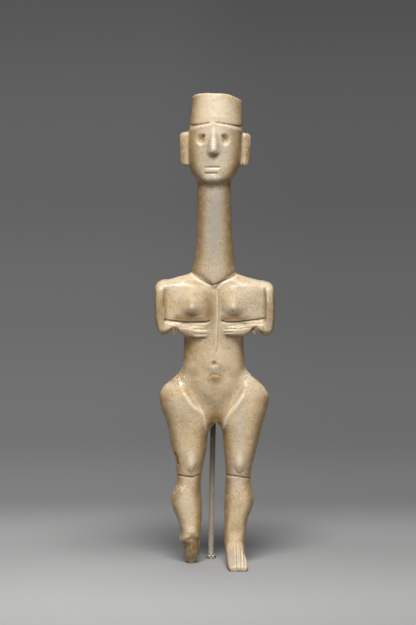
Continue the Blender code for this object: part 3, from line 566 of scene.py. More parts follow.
def head_shells(shells):
    """The head leaning back: its cap cut off flat and worn down on the right, the nose and the ears."""
    head = bmesh.new()
    loft(head, HEAD, squareness=2.4)
    bmesh.ops.transform(head, matrix=head_matrix(), verts=head.verts)
    tilt = Matrix.Rotation(math.radians(-CAP_TILT), 3, "X")
    roll = Matrix.Rotation(math.radians(CAP_ROLL), 3, "Y")
    cut_flat(head, CAP_TOP, tilt @ roll @ Vector((0, 0, 1)))
    for start, end, depth in CAP_WEAR:
        for vert in head.verts:
            out, up = np.subtract((vert.co.x, vert.co.z), start) / np.subtract(end, start)
            vert.co.z -= depth * smooth_step(out) * smooth_step(up)
    head_mesh = bpy.data.meshes.new("head")
    head.to_mesh(head_mesh)
    head.free()
    shells.from_mesh(head_mesh)
    bpy.data.meshes.remove(head_mesh)
    small = loft(shells, NOSE, squareness=1.6)
    for ear in (LEFT_EAR, RIGHT_EAR):
        small += loft(shells, ear, squareness=2.6)
    bmesh.ops.transform(shells, matrix=head_matrix(), verts=small)


def cut_flat(shape, point, normal):
    """Takes away what lies past the plane, and closes the cut."""
    everything = list(shape.verts) + list(shape.edges) + list(shape.faces)
    cut = bmesh.ops.bisect_plane(
        shape, geom=everything, dist=1e-6, plane_co=point, plane_no=normal, clear_outer=True
    )
    rim = [item for item in cut["geom_cut"] if isinstance(item, bmesh.types.BMEdge)]
    made = bmesh.ops.edgeloop_fill(shape, edges=rim)
    bmesh.ops.triangulate(shape, faces=made["faces"])
    bmesh.ops.recalc_face_normals(shape, faces=shape.faces)


def figure_shells():
    """Every rough form of the figure as closed shells that run into each other."""
    shells = bmesh.new()
    loft(shells, TRUNK, squareness=2.2, sides=64)
    loft(shells, CHEST, squareness=5.0, sides=64)
    loft(shells, NECK, squareness=2.0)
    for arm in (LEFT_ARM, RIGHT_ARM):
        loft(shells, arm, squareness=3.2)
    for leg in (LEFT_LEG, RIGHT_LEG):
        loft(shells, leg, squareness=1.95)
    for forearm in (LEFT_FOREARM, RIGHT_FOREARM):
        loft(shells, forearm, axes="ZYX", squareness=2.8, step=0.6)
    loft(shells, FOOT, axes="XZY", squareness=2.5)
    for centre in BUTTOCK_CENTRES:
        ball(shells, centre, BUTTOCK_RADII)
    head_shells(shells)
    return shells


def with_modifiers(mesh, *settings):
    """The mesh after the modifiers, each given as a type and its values."""
    helper = bpy.data.objects.new("helper", mesh)
    bpy.context.scene.collection.objects.link(helper)
    for kind, values in settings:
        modifier = helper.modifiers.new(kind.title(), kind)
        for name, value in values.items():
            setattr(modifier, name, value)
    bpy.context.view_layer.update()
    graph = bpy.context.evaluated_depsgraph_get()
    result = bpy.data.meshes.new_from_object(helper.evaluated_get(graph), depsgraph=graph)
    bpy.data.objects.remove(helper, do_unlink=True)
    bpy.data.meshes.remove(mesh)
    return result


def fused_mesh(shells, voxel, smooth_steps):
    mesh = bpy.data.meshes.new("rough")
    shells.to_mesh(mesh)
    shells.free()
    return with_modifiers(
        mesh,
        ("REMESH", {"mode": "VOXEL", "voxel_size": voxel}),
        ("SMOOTH", {"factor": 0.5, "iterations": smooth_steps}),
    )


class Stone:
    """The fused surface as arrays, with the carver's moves.

    Paths lie in the plane that faces the carver, as X and Z points.
    """

    def __init__(self, mesh):
        self.mesh = mesh
        count = len(mesh.vertices)
        self.layers = {name: np.zeros(count) for name in LAYERS}
        self.points = np.empty(count * 3)
        mesh.vertices.foreach_get("co", self.points)
        self.points = self.points.reshape(-1, 3)
        self.normals = np.empty(count * 3)
        mesh.vertex_normals.foreach_get("vector", self.normals)
        self.normals = self.normals.reshape(-1, 3)

    def facing(self, side):
        """How far each point faces the carver."""
        return smooth_step((self.normals[:, 1] * side - 0.05) / 0.4)

    def nearest(self, path):
        """How far each point is from the path, and on which side: 1 to its left, -1 to its right."""
        flat = self.points[:, [0, 2]]
        best = np.full(len(flat), np.inf)
        turn = np.zeros(len(flat))
        for start, end in zip(np.array(path[:-1]), np.array(path[1:])):
            along = end - start
            share = np.clip((flat - start) @ along / (along @ along), 0.0, 1.0)
            offset = flat - start - share[:, None] * along
            distance = np.hypot(offset[:, 0], offset[:, 1])
            nearer = distance < best
            best = np.where(nearer, distance, best)
            cross = along[0] * (flat[:, 1] - start[1]) - along[1] * (flat[:, 0] - start[0])
            turn = np.where(nearer, np.sign(cross), turn)
        return best, turn

    def move(self, amount, side):
        """Pushes the surface in along its normal, where it faces the carver."""
        self.points -= self.normals * (amount * self.facing(side))[:, None]

    def groove(self, path, width, depth, side=FRONT):
        distance, _ = self.nearest(path)
        self.move(depth * (1 - smooth_step(distance / (width / 2))), side)

    def step(self, path, depth, edge, fade, run_in, run_out, hand):
        """Lowers the surface on one hand of the path, sharply at the path and less away from it.

        The step comes up to its depth over the run-in from the path's first point, and fades over the
        run-out to its last one.
        """
        distance, turn = self.nearest(path)
        drop = smooth_step(distance / edge) * (1 - smooth_step((distance - edge) / fade))
        for end, run in ((path[0], run_in), (path[-1], run_out)):
            from_end = self.points[:, [0, 2]] - end
            drop *= smooth_step(np.hypot(from_end[:, 0], from_end[:, 1]) / run)
        self.move(depth * drop * (turn * hand > 0), FRONT)

    def reach(self, centre, radii):
        """How far each point is from the centre, as a share of the radii across, up and down."""
        across = (self.points[:, 0] - centre[0]) / radii[0]
        rise = self.points[:, 2] - centre[1]
        return np.hypot(across, rise / np.where(rise > 0, radii[1], radii[2]))

    def mound(self, centre, radii, height):
        """Raises a hill on the front, or with a negative height makes a hollow."""
        self.move(-height * (1 - smooth_step(self.reach(centre, radii))), FRONT)

    def add(self, layer, amount):
        self.layers[layer] = np.maximum(self.layers[layer], amount)

    def mark(self, layer, amount, side):
        """Adds to a layer, on all that doesn't turn away from the carver."""
        self.add(layer, amount * smooth_step((self.normals[:, 1] * side + 0.5) / 0.6))

    def line(self, layer, path, width, amount, side=FRONT):
        distance, _ = self.nearest(path)
        self.mark(layer, amount * (1 - smooth_step(distance / (width / 2))), side)

    def patch(self, layer, centre, radii, amount):
        self.mark(layer, amount * (1 - smooth_step(self.reach(centre, radii))), FRONT)

    def roughen(self, amplitude, width, layer=None):
        """Pushes the surface about by smooth noise, everywhere or as strongly as a layer says."""
        heights = np.array([noise.fractal(Vector(point) / width, *OCTAVES) for point in self.points])
        share = 1.0 if layer is None else self.layers[layer]
        self.points += self.normals * (heights * amplitude * share)[:, None]

    def hollowness(self, passes):
        """How far each point lies below the mean of those around it. Edges and crests are negative."""
        count = len(self.points)
        edges = np.empty(len(self.mesh.edges) * 2, np.int32)
        self.mesh.edges.foreach_get("vertices", edges)
        first, second = edges.reshape(-1, 2).T
        degree = np.bincount(edges, minlength=count)
        mean = self.points.copy()
        for _ in range(passes):
            for axis in range(3):
                row = mean[:, axis]
                total = np.bincount(first, row[second], count) + np.bincount(second, row[first], count)
                mean[:, axis] = total / degree
        return ((mean - self.points) * self.normals).sum(axis=1)

    def write(self):
        self.mesh.vertices.foreach_set("co", self.points.reshape(-1))
        for name, values in self.layers.items():
            layer = self.mesh.attributes.new(name, "FLOAT", "POINT")
            layer.data.foreach_set("value", np.clip(values, 0.0, 1.0))
        self.mesh.update()
        return self.mesh


def carve_head(stone):
    for path in CAP_LINES:
        stone.groove(path, width=1.4, depth=0.7)
    for centre, pupil in EYES:
        stone.mound(centre, radii=(2.7, 3.4, 3.2), height=-1.7)
        stone.mound(pupil, radii=(1.4, 1.4, 1.4), height=-0.7)
    for path in (MOUTH_UPPER, MOUTH_LOWER):
        stone.groove(path, width=1.4, depth=0.7)
    stone.mound(CHIN, radii=(5.5, 2.0, 3.0), height=0.4)
    for path in EAR_CREASES:
        stone.groove(path, width=1.6, depth=0.7)


def carve_chest(stone):
    stone.groove(NECKLINE, width=1.6, depth=0.7)
    stone.groove(MEDIAN_LINE, width=1.3, depth=0.4)
    for path in ARM_EDGES:
        stone.groove(path, width=2.2, depth=0.2)
    for path in CHEST_EDGES:
        stone.groove(path, width=1.5, depth=0.9)
    for centre in BREASTS:
        stone.mound(centre, radii=(6.8, 9.6, 4.6), height=2.2)
        stone.mound(centre, radii=(2.2, 2.6, 1.9), height=0.6)
    for path in FINGERS:
        stone.groove(path, width=1.0, depth=0.45)


def carve_hips(stone):
    stone.mound(BELLY, radii=(10.0, 10.0, 5.2), height=1.2)
    stone.mound(NAVEL, radii=(1.9, 1.7, 1.9), height=-1.2)
    stone.groove(PUBIC_ARC, width=1.3, depth=0.3)
    for path, hand in ((GROIN_LEFT, 1), (GROIN_RIGHT, -1)):
        stone.groove(path[1:], width=5.0, depth=-0.5)
        stone.step(path, depth=1.6, edge=2.2, fade=7.0, run_in=8.0, run_out=15.0, hand=hand)


def carve_legs(stone):
    for centre in THIGHS:
        stone.mound(centre, radii=(6.0, 22.0, 13.0), height=0.8)
    for centre in KNEES:
        stone.mound(centre, radii=(3.9, 8.0, 4.6), height=1.1)
    for path in KNEE_LINES:
        stone.groove(path, width=1.2, depth=0.6)
        stone.groove(path, width=1.2, depth=0.5, side=BACK)
    stone.mound(BROKEN_KNOB, radii=(2.8, 3.0, 2.0), height=0.5)
    stone.step(BROKEN_EDGE, depth=0.8, edge=1.4, fade=9.0, run_in=3.0, run_out=1.0, hand=-1)
    for path in TOES:
        stone.groove(path, width=0.9, depth=0.5)


def carve_back(stone):
    for path, width, depth, _, _ in BACK_LINES:
        stone.groove(path, width, depth, BACK)


def mark_head(stone):
    for path in BROWS:
        stone.step(path, depth=0.4, edge=0.5, fade=2.6, run_in=0.5, run_out=0.5, hand=1)
    for path in CAP_LINES:
        stone.line("soil_and_shade", path, width=1.3, amount=0.9)
    stone.mound(NOSE_BRIDGE, radii=(3.4, 9.0, 5.0), height=0.45)
    stone.mound(NOSE_BRIDGE, radii=(1.3, 7.0, 5.0), height=-0.3)
    for eye, pupil in EYES:
        stone.mound(eye, radii=(3.2, 4.0, 3.8), height=0.45)
        stone.mound(eye, radii=(2.2, 2.9, 2.8), height=-0.9)
        stone.mound(pupil, radii=(1.1, 1.1, 1.1), height=-0.7)
        # The pupil, up and in from each eye's middle, is darkened as painted shade, and the lower bowl
        # lightened as a painted highlight
        stone.patch("soil_and_shade", pupil, radii=(1.3, 1.4, 0.7), amount=0.7)
        stone.patch("crest", (eye[0], eye[1] - 2.2), radii=(1.8, 0.9, 0.8), amount=1.0)
    for centre in NOSE_PITS:
        stone.mound(centre, radii=(0.6, 0.6, 0.5), height=-0.5)
        stone.patch("soil_and_shade", centre, radii=(0.7, 0.6, 0.6), amount=1.0)
    stone.line("soil_and_shade", MOUTH_UPPER, width=0.7, amount=0.5)
    stone.line("soil_and_shade", MOUTH_LOWER, width=1.0, amount=1.0)
    stone.line("soil_and_shade", UNDER_CHIN, width=1.2, amount=0.7)


def mark_chest(stone):
    stone.line("soil_and_shade", NECKLINE, width=1.3, amount=0.5)
    for path in ARM_EDGES:
        stone.line("stain_and_shade", path, width=2.0, amount=0.35)
    for path in CHEST_EDGES:
        stone.line("soil_and_shade", path, width=1.3, amount=0.75)
    for path in FINGER_LINES:
        stone.groove(path, width=0.9, depth=0.25)
        stone.line("stain_and_shade", path, width=1.1, amount=0.6)
    # Painted shadow under the breasts, with some brown soil
    for path in UNDER_BREASTS:
        stone.line("stain_and_shade", path, width=6.0, amount=0.9)
    stone.groove(SCRATCH, width=0.6, depth=0.15)
    stone.mound(BREAST_PIT, radii=(0.9, 0.8, 0.8), height=-0.8)
    stone.patch("soil_and_shade", BREAST_PIT, radii=(0.8, 0.7, 0.7), amount=1.0)


def mark_hips(stone):
    # The upper rim of the navel is darkened as painted shade
    stone.patch("soil_and_shade", NAVEL, radii=(1.6, 1.9, 0.7), amount=0.6)
    stone.groove(PUBIC_ARC, width=1.3, depth=-0.2)
    stone.line("soil_and_shade", PUBIC_ARC, width=1.5, amount=0.8)


def mark_legs(stone):
    for path in KNEE_EDGES:
        stone.groove(path, width=0.9, depth=0.15)
        stone.line("soil_and_shade", path, width=1.1, amount=0.7)
    for path in KNEE_LINES:
        for side in (FRONT, BACK):
            stone.line("soil_and_shade", path, width=1.4, amount=0.95, side=side)
    stone.groove(THIGH_CHIP, width=1.4, depth=0.5)
    stone.line("soil_and_shade", THIGH_CHIP, width=1.6, amount=1.0)
    stone.mound(CALF_CHIP, radii=(1.6, 1.2, 1.2), height=-0.9)
    stone.patch("wear", CALF_CHIP, radii=(1.6, 1.4, 1.4), amount=1.0)
    stone.patch("broken", BROKEN_FACE, radii=(7.0, 5.2, 8.5), amount=1.0)
    stone.line("soil_and_shade", BROKEN_EDGE[2:4], width=1.4, amount=0.5)
    for path in TOES:
        stone.line("soil_and_shade", path, width=1.0, amount=0.6)
    # A painted contact shadow along the floor at the front of the toes and under the broken heel
    for path in (TOE_TIP_SHADOW, HEEL_TIP_SHADOW):
        stone.line("soil_and_shade", path, width=3.4, amount=1.0)


def mark_back(stone):
    for path, _, _, width, amount in BACK_LINES:
        stone.line("soil_and_shade", path, width, amount, BACK)


def mark_stone(stone):
    """Marks patches, paints shade on flanks and undersides, soils what is hollow, wears what stands out,
    and lightens the listed edges as wear and painted highlight.
    """
    places = {"wear": WORN_PATCHES, "stain_and_shade": STAIN_AND_SHADE_PATCHES, "grey": GREY_PLACES, "pale": PALE_PLACES}
    for layer, patches in places.items():
        for centre, radii, amount in patches:
            stone.patch(layer, centre, radii, amount)
    sideways, upward = np.abs(stone.normals[:, 0]), stone.normals[:, 2]
    flank = smooth_step((sideways - FLANK_START) / TURN) * (1 - smooth_step(upward / TURN))
    flank *= smooth_step(stone.reach(FACE_MIDDLE, FACE_RADII))
    # Painted shade: flanks and undersides darkened as if turned away from the light
    stone.add("stain_and_shade", FLANK_SHADE * flank)
    stone.add("stain_and_shade", UNDER_SHADE * smooth_step((-upward - UNDER_START) / TURN))
    hollow = stone.hollowness(CREVICE_PASSES)
    stone.add("soil_and_shade", CREVICE_SOIL * smooth_step(hollow / CREVICE_DEPTH))
    stone.add("crest", smooth_step(-hollow / CREST_DEPTH))
    # Wear and painted highlights along the listed edges
    for path in WORN_AND_LIT_EDGES:
        stone.line("crest", path, WORN_AND_LIT_EDGE_WIDTH, WORN_AND_LIT_EDGE_SHARE)


def figure_mesh():
    """The carved figure in parts, cut flat where the foot and the broken heel stand."""
    voxel, smooth_steps = ((VOXEL, SMOOTH_STEPS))
    stone = Stone(fused_mesh(figure_shells(), voxel, smooth_steps))
    for carve in (carve_head, carve_chest, carve_hips, carve_legs, carve_back):
        carve(stone)
    for mark in (mark_head, mark_chest, mark_hips, mark_legs, mark_back, mark_stone):
        mark(stone)
    stone.roughen(*HAND_WORK)
    stone.roughen(*WEATHERING)
    stone.roughen(*ROUGH_BREAK, layer="broken")
    stone.roughen(*ROUGH_WEAR, layer="wear")
    mesh = stone.write()
    shape = bmesh.new()
    shape.from_mesh(mesh)
    cut_flat(shape, (0, 0, 0), (0, 0, -1))
    shape.to_mesh(mesh)
    shape.free()
    return mesh


# Dots in the marble: how ragged their outlines are, and how much finer that is than the dots
RAGGEDNESS = 0.7
RAGGED_FINENESS = 3


class Shader:
    """A node tree with short ways to add the nodes that these materials use."""

    def __init__(self, name):
        self.material = bpy.data.materials.new(name)
        self.material.use_nodes = True
        self.nodes = self.material.node_tree.nodes
        self.links = self.material.node_tree.links
        self.surface = self.nodes["Principled BSDF"]
        self.place = self.nodes.new("ShaderNodeTexCoord").outputs["Object"]

    def put(self, socket, value):
        if isinstance(value, bpy.types.NodeSocket):
            self.links.new(value, socket)
        elif socket.type == "RGBA":
            socket.default_value = (*value, 1.0)
        else:
            socket.default_value = value

    def paint(self, **values):
        """Sets inputs of the surface, named with _ for a space, and gives the material."""
        for name, value in values.items():
            self.put(self.surface.inputs[name.replace("_", " ")], value)
        return self.material

    def layer(self, name, share=1.0):
        """One of the stone's layers, times a share."""
        node = self.nodes.new("ShaderNodeAttribute")
        node.attribute_name = name
        return self.maths("MULTIPLY", node.outputs["Fac"], share)

    def along(self, axis):
        """The place along one axis, in metres."""
        node = self.nodes.new("ShaderNodeSeparateXYZ")
        self.links.new(self.place, node.inputs[0])
        return node.outputs[axis]

    def noise(self, scale, detail=3.0, roughness=0.5):
        node = self.nodes.new("ShaderNodeTexNoise")
        self.links.new(self.place, node.inputs["Vector"])
        node.inputs["Scale"].default_value = scale
        node.inputs["Detail"].default_value = detail
        node.inputs["Roughness"].default_value = roughness
        return node.outputs["Fac"]

    def vector_maths(self, operation, first, second, entry=1):
        node = self.nodes.new("ShaderNodeVectorMath")
        node.operation = operation
        self.put(node.inputs[0], first)
        self.put(node.inputs[entry], second)
        return node

    def dots(self, scale):
        """Distance from the middle of the nearest cell of a random pattern, with ragged outlines."""
        shake = self.nodes.new("ShaderNodeTexNoise")
        self.links.new(self.place, shake.inputs["Vector"])
        shake.inputs["Scale"].default_value = scale * RAGGED_FINENESS
        ragged = self.vector_maths("SCALE", shake.outputs["Color"], RAGGEDNESS / scale, "Scale")
        place = self.vector_maths("ADD", self.place, ragged.outputs["Vector"]).outputs["Vector"]
        node = self.nodes.new("ShaderNodeTexVoronoi")
        self.links.new(place, node.inputs["Vector"])
        node.inputs["Scale"].default_value = scale
        return node.outputs["Distance"]

    def ramp(self, value, start, end, low=0.0, high=1.0):
        node = self.nodes.new("ShaderNodeMapRange")
        node.interpolation_type = "SMOOTHSTEP"
        self.put(node.inputs["Value"], value)
        for name, number in (("From Min", start), ("From Max", end), ("To Min", low), ("To Max", high)):
            node.inputs[name].default_value = number
        return node.outputs["Result"]

    def maths(self, operation, first, second):
        node = self.nodes.new("ShaderNodeMath")
        node.operation = operation
        self.put(node.inputs[0], first)
        self.put(node.inputs[1], second)
        return node.outputs["Value"]

    def blend(self, share, first, second):
        node = self.nodes.new("ShaderNodeMix")
        node.data_type = "RGBA"
        for name, value in (("Factor", share), ("A", first), ("B", second)):
            self.put(node.inputs[name], value)
        return node.outputs["Result"]

    def bump(self, height, distance, strength, under=None):
        node = self.nodes.new("ShaderNodeBump")
        node.inputs["Distance"].default_value = distance
        node.inputs["Strength"].default_value = strength
        self.links.new(height, node.inputs["Height"])
        if under is not None:
            self.links.new(under, node.inputs["Normal"])
        return node.outputs["Normal"]


# Colours, as linear red, green and blue
# Some of these colours also paint light and shade: the pale and fresh stone paint highlights, the soil
# browns paint contact shadows and the stain brown paints shade on flanks and undersides
CREAM = (0.76, 0.59, 0.36)
PALE_GREY = (0.62, 0.51, 0.355)
HONEY = (0.61, 0.40, 0.168)
GREY_STONE = (0.50, 0.45, 0.375)
PALE_STONE_AND_HIGHLIGHT = (0.88, 0.75, 0.56)
SOIL_AND_SHADE = (0.32, 0.150, 0.030)
DEEP_SOIL_AND_SHADOW = (0.060, 0.028, 0.009)
STAIN_AND_SHADE_BROWN = (0.26, 0.135, 0.020)
FRESH_AND_HIGHLIGHT = (0.97, 0.90, 0.76)
BREAK_TAN = (0.19, 0.105, 0.022)
AMBER = (0.50, 0.25, 0.06)

# Clouds and grains in the marble: the noise's scale, detail and roughness, where its ramp starts and
# ends, the most that it covers, and its colour
CLOUDS = (
    (95.0, 5.0, 0.6, 0.48, 0.72, 0.6, HONEY),
    (650.0, 4.0, 0.65, 0.45, 0.65, 0.4, HONEY),
    (1300.0, 2.0, 0.5, 0.42, 0.66, 0.3, FRESH_AND_HIGHLIGHT),
    (900.0, 2.0, 0.5, 0.60, 0.70, 0.45, AMBER),
)
SPECK_SCALE = 620.0
BLOT_SCALE = 210.0

# How far light scatters in the marble, in metres, and the shares of it for red, green and blue
SCATTER_REACH = 0.0024
SCATTER = (1.0, 0.62, 0.34)


def marble():
    """Old polished marble: grey inside, honey patina, brown dirt in the cuts and pale worn crests, with
    painted shade on flanks and undersides, painted contact shadows at the toes and heel, and painted
    highlights.
    """
    shader = Shader("marble")
    colour = shader.blend(shader.ramp(shader.noise(38.0, 2.0), 0.35, 0.68), PALE_GREY, CREAM)
    for scale, detail, roughness, start, end, most, tint in CLOUDS:
        cover = shader.ramp(shader.noise(scale, detail, roughness), start, end, 0.0, most)
        colour = shader.blend(cover, colour, tint)
    cloudy = shader.ramp(shader.noise(300.0), 0.3, 0.55, 0.7, 1.0)
    crumbly = shader.ramp(shader.noise(700.0), 0.35, 0.6, 0.55, 0.95)
    flecks = shader.ramp(shader.noise(1300.0, 2.0), 0.50, 0.60)
    # The stain layer carries painted shade and the pale and crest layers carry painted highlights,
    # besides real stains, grey and pale stone, and wear
    for layer, share, tint in (
        ("grey", 1.0, GREY_STONE),
        ("pale", 1.0, PALE_STONE_AND_HIGHLIGHT),
        ("stain_and_shade", cloudy, STAIN_AND_SHADE_BROWN),
        ("broken", crumbly, BREAK_TAN),
        ("crest", 0.75, FRESH_AND_HIGHLIGHT),
        ("wear", flecks, FRESH_AND_HIGHLIGHT),
    ):
        colour = shader.blend(shader.layer(layer, share), colour, tint)
    few = shader.ramp(shader.noise(210.0, 1.0), 0.48, 0.60)
    dots = shader.dots(SPECK_SCALE)
    specks = shader.maths("MULTIPLY", shader.ramp(dots, 0.12, 0.22, 0.7, 0.0), few)
    blots = shader.maths("MULTIPLY", shader.ramp(shader.dots(BLOT_SCALE), 0.04, 0.08, 0.7, 0.0), few)
    soil_and_shade = shader.layer("soil_and_shade", shader.ramp(shader.noise(520.0), 0.35, 0.60, 0.5, 1.0))
    # The soil colours also paint the contact shadows at the toes and heel, which reach the deep soil
    # colour
    for share, tint in (
        (specks, STAIN_AND_SHADE_BROWN),
        (blots, SOIL_AND_SHADE),
        (soil_and_shade, SOIL_AND_SHADE),
        (shader.ramp(soil_and_shade, 0.72, 0.98), DEEP_SOIL_AND_SHADOW),
    ):
        colour = shader.blend(share, colour, tint)

    rough = shader.ramp(shader.noise(260.0), 0.3, 0.7, 0.29, 0.46)
    for more in (shader.layer("broken", 0.25), shader.maths("MULTIPLY", soil_and_shade, 0.4)):
        rough = shader.maths("ADD", rough, more)
    soft = shader.bump(shader.noise(420.0, 4.0, 0.6), 0.00012, 0.7)
    fine = shader.bump(shader.noise(2600.0, 2.0), 0.00003, 0.6, under=soft)
    pits = shader.maths("MULTIPLY", shader.ramp(dots, 0.14, 0.26, -1.0, 0.0), few)
    return shader.paint(
        Base_Color=colour,
        Roughness=rough,
        Specular_IOR_Level=shader.ramp(soil_and_shade, 0.0, 0.8, 0.5, 0.05),
        Subsurface_Weight=0.4,
        Subsurface_Scale=SCATTER_REACH,
        Subsurface_Radius=SCATTER,
        Normal=shader.bump(pits, 0.00008, 0.6, under=fine),
    )


# Colours of the mount
ROD_BROWN = (0.058, 0.036, 0.016)
ROD_BEIGE = (0.48, 0.405, 0.31)
ROD_TAN = (0.30, 0.22, 0.13)
ROD_CHALK = (0.62, 0.58, 0.50)
WIRE_TAN = (0.60, 0.45, 0.28)
WIRE_DARK = (0.16, 0.09, 0.04)
SOLDER_DARK = (0.20, 0.15, 0.10)
SOLDER_PALE = (0.34, 0.29, 0.23)

# Heights on the rod, in metres, over which its beige turns brown and its retouching ends: the beige is a
# painted reflection of the floor and the brown is painted shade under the figure
BEIGE_BELOW = (0.026, 0.066)
CHALK_BELOW = (0.004, 0.016)


def rod_paint():
    """Paint on the rod, beige low down as a painted reflection of the floor and brown higher up as
    painted shade under the figure, with chalky dabs at the very foot.
    """
    shader = Shader("rod_paint")
    height = shader.along("Z")
    colour = shader.blend(shader.ramp(height, *BEIGE_BELOW), ROD_BEIGE, ROD_BROWN)
    streaks = shader.ramp(shader.noise(420.0, 3.0), 0.45, 0.65, 0.0, 0.35)
    colour = shader.blend(streaks, colour, ROD_TAN)
    dabs = shader.ramp(shader.noise(1500.0, 2.0), 0.48, 0.60)
    low = shader.ramp(height, *CHALK_BELOW, 1.0, 0.0)
    return shader.paint(
        Base_Color=shader.blend(shader.maths("MULTIPLY", dabs, low), colour, ROD_CHALK),
        Roughness=shader.ramp(shader.noise(700.0), 0.3, 0.7, 0.30, 0.48),
        Normal=shader.bump(shader.noise(1800.0), 0.00004, 0.6),
        Metallic=0.25,
    )


def wire_paint():
    """Glossy tan lacquer on the wire, with the dark metal showing through in places."""
    shader = Shader("wire_paint")
    worn = shader.ramp(shader.noise(520.0, 3.0), 0.50, 0.66)
    return shader.paint(
        Base_Color=shader.blend(worn, WIRE_TAN, WIRE_DARK),
        Roughness=shader.ramp(worn, 0.0, 1.0, 0.14, 0.30),
        Normal=shader.bump(shader.noise(1400.0), 0.00004, 0.5),
        Metallic=0.55,
        Coat_Weight=0.6,
        Coat_Roughness=0.08,
    )


def foot_paint():
    """Beige paint over brown metal, dabbed on and chipped at the rim."""
    shader = Shader("foot_paint")
    dabs = shader.ramp(shader.noise(1300.0, 3.0), 0.44, 0.58)
    return shader.paint(
        Base_Color=shader.blend(dabs, ROD_BROWN, ROD_CHALK),
        Roughness=shader.ramp(dabs, 0.0, 1.0, 0.35, 0.6),
        Normal=shader.bump(dabs, 0.00008, 0.7),
        Metallic=0.1,
    )


def solder_metal():
    shader = Shader("solder")
    return shader.paint(
        Base_Color=shader.blend(shader.noise(900.0), SOLDER_DARK, SOLDER_PALE),
        Roughness=shader.ramp(shader.noise(1200.0), 0.3, 0.7, 0.3, 0.5),
        Normal=shader.bump(shader.noise(1600.0), 0.00006, 0.7),
        Metallic=0.7,
    )


def add_piece(name, mesh, surface):
    piece = bpy.data.objects.new(name, mesh)
    bpy.context.scene.collection.objects.link(piece)
    mesh.materials.append(surface)
    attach(piece, "root")
    return piece


def frame_shift():
    """How far the figure's own origin lies from the frame's, found from where the mount's foot stands."""
    low, high = (Vector(corner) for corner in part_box("mount_foot"))
    middle = (low + high) / 2
    return Vector((middle.x - MOUNT_FOOT_PLACE[0] * PART, middle.y - MOUNT_FOOT_PLACE[1] * PART, 0.0))


def make_figurine():
    mesh = figure_mesh()
    mesh.transform(Matrix.Translation(frame_shift()) @ Matrix.Scale(PART, 4))
    mesh.shade_smooth()
    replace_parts(add_piece("figurine_marble", mesh, marble()), "figurine")


# The solder and the wire, in metres, and the height of the solder's lumps as a share of its radii
SOLDER_RADII = (0.0024, 0.0013, 0.0012)
SOLDER_FORWARD = 0.0001
LUMP_WIDTH = 0.0011
LUMP_HEIGHT = 0.10
WIRE_RADIUS = 0.0011


def make_solder():
    """The blob of solder that joins the wire to the front of the rod, under the figure's back."""
    rod_low, rod_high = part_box("mount_rod")
    wire_low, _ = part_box("mount_cradle")
    shape = bmesh.new()
    bmesh.ops.create_icosphere(shape, subdivisions=4, radius=1.0)
    bmesh.ops.transform(shape, matrix=Matrix.Diagonal((*SOLDER_RADII, 1.0)), verts=shape.verts)
    for vert in shape.verts:
        vert.co *= 1 + LUMP_HEIGHT * noise.noise(vert.co / LUMP_WIDTH)
    mesh = bpy.data.meshes.new("mount_solder")
    shape.to_mesh(mesh)
    shape.free()
    rod_radius = (rod_high[1] - rod_low[1]) / 2
    place = Vector((rod_high[0] - rod_radius, rod_low[1] - SOLDER_FORWARD, wire_low[2] + WIRE_RADIUS))
    mesh.transform(Matrix.Translation(place))
    mesh.shade_smooth()
    add_piece("mount_solder", mesh, solder_metal())


def dress_mount():
    surfaces = {"mount_rod": rod_paint(), "mount_cradle": wire_paint(), "mount_foot": foot_paint()}
    for node, surface in surfaces.items():
        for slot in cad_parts[node].material_slots:
            slot.material = surface


# The picture's camera: the point that it looks at, in parts, how far off it is in metres, how high in
# degrees, its lens in pixels, the picture's height in pixels, and its sensor in millimetres
CAMERA_TARGET = (-2.85, 0.0, 115.1)
CAMERA_DISTANCE = 1.8
CAMERA_ELEVATION = 7.0
FOCAL_PIXELS = 3984.6
PICTURE_HEIGHT = 625
SENSOR = 36.0
CLIPPING = (0.05, 60.0)


def add_camera():
    data = bpy.data.cameras.new("camera")
    data.sensor_fit = "VERTICAL"
    data.sensor_height = SENSOR
    data.lens = FOCAL_PIXELS * SENSOR / PICTURE_HEIGHT
    data.clip_start, data.clip_end = CLIPPING
    camera = bpy.data.objects.new("camera", data)
    bpy.context.scene.collection.objects.link(camera)
    angle = math.radians(CAMERA_ELEVATION)
    back = Vector((0.0, -math.cos(angle), math.sin(angle)))
    camera.location = Vector(CAMERA_TARGET) * PART + frame_shift() + back * CAMERA_DISTANCE
    camera.rotation_euler = (-back).to_track_quat("-Z", "Y").to_euler()
    bpy.context.scene.camera = camera


# The floor, in metres: its greys by the distance from its middle, in which steps along X count less, a
# painted pool of light that is pale near the figure
FLOOR_RADIUS = 14.0
FLOOR_MIDDLE = (0.0, -0.10, 0.0)
FLOOR_WIDENED = (0.5, 1.0, 1.0)
FLOOR_GREYS = (
    (0.0, 0.445),
    (0.17, 0.30),
    (0.29, 0.172),
    (0.50, 0.135),
    (1.1, 0.113),
    (1.9, 0.094),
    (6.0, 0.068),
)

# The painted shadow behind the figure, and how much of the grey is left to its right past FLOOR_EDGE, as
# a painted falloff of the light
SHADE_MIDDLE = (-0.014, 0.068, 0.0)
SHADE_RADIUS = 0.085
SHADE = 0.36
RIGHT_SHARE = 0.86
FLOOR_EDGE = 0.09


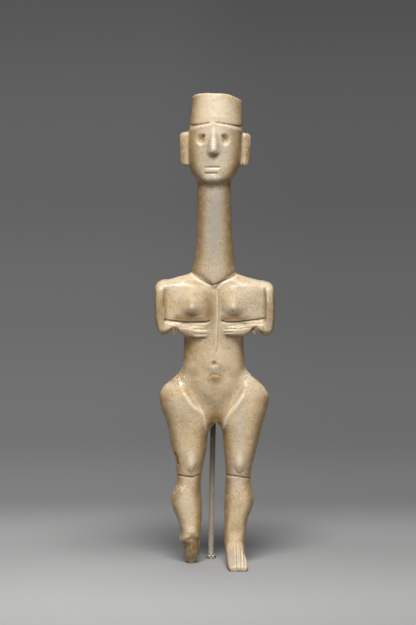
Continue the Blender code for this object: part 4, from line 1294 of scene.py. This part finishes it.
def add_floor():
    """A plain floor with a painted pool of light, pale where the figure stands and greyer away from it,
    and a painted shadow behind it.
    """
    shape = bmesh.new()
    bmesh.ops.create_circle(shape, cap_ends=True, segments=96, radius=FLOOR_RADIUS)
    mesh = bpy.data.meshes.new("floor")
    shape.to_mesh(mesh)
    shape.free()
    floor = bpy.data.objects.new("floor", mesh)
    bpy.context.scene.collection.objects.link(floor)
    shader = Shader("floor")
    narrowed = shader.vector_maths("MULTIPLY", shader.place, FLOOR_WIDENED).outputs["Vector"]
    away = shader.vector_maths("DISTANCE", narrowed, FLOOR_MIDDLE).outputs["Value"]
    grey = FLOOR_GREYS[0][1]
    for near, far in zip(FLOOR_GREYS, FLOOR_GREYS[1:]):
        change = shader.ramp(away, near[0], far[0], 0.0, far[1] - near[1])
        grey = shader.maths("ADD", grey, change)
    # A painted shadow behind the figure, and a painted falloff of the light to its right
    behind = shader.vector_maths("DISTANCE", shader.place, SHADE_MIDDLE).outputs["Value"]
    shade = shader.ramp(behind, 0.0, SHADE_RADIUS, 1.0 - SHADE, 1.0)
    rightward = shader.ramp(shader.along("X"), -FLOOR_EDGE, FLOOR_EDGE, 1.0, RIGHT_SHARE)
    for share in (shade, rightward):
        grey = shader.maths("MULTIPLY", grey, share)
    mesh.materials.append(shader.paint(Base_Color=grey, Roughness=0.9, Specular_IOR_Level=0.1))


# Soft lamps far away: name, degrees round from the front, degrees up, strength, spread in degrees, colour
LIGHTS = (
    ("key", -3.0, 60.0, 3.4, 24.0, (1.0, 0.995, 0.985)),
    ("fill", 4.0, 14.0, 0.42, 24.0, (1.0, 1.0, 1.0)),
    ("back", 176.0, 58.0, 0.8, 60.0, (0.985, 0.995, 1.0)),
)
AMBIENT = (0.045, 0.045, 0.046)


def add_lights():
    for name, around, up, strength, spread, colour in LIGHTS:
        data = bpy.data.lights.new(name, "SUN")
        data.energy = strength
        data.angle = math.radians(spread)
        data.color = colour
        lamp = bpy.data.objects.new(name, data)
        bpy.context.scene.collection.objects.link(lamp)
        around, up = math.radians(around), math.radians(up)
        level = math.cos(up)
        towards = Vector((math.sin(around) * level, -math.cos(around) * level, math.sin(up)))
        lamp.location = towards
        lamp.rotation_euler = (-towards).to_track_quat("-Z", "Y").to_euler()
    world = bpy.data.worlds.new("studio")
    world.use_nodes = True
    world.node_tree.nodes["Background"].inputs["Color"].default_value = (*AMBIENT, 1.0)
    bpy.context.scene.world = world
    bpy.context.scene.view_settings.view_transform = "Standard"


add_camera()
make_figurine()
make_solder()
dress_mount()
add_floor()
add_lights()
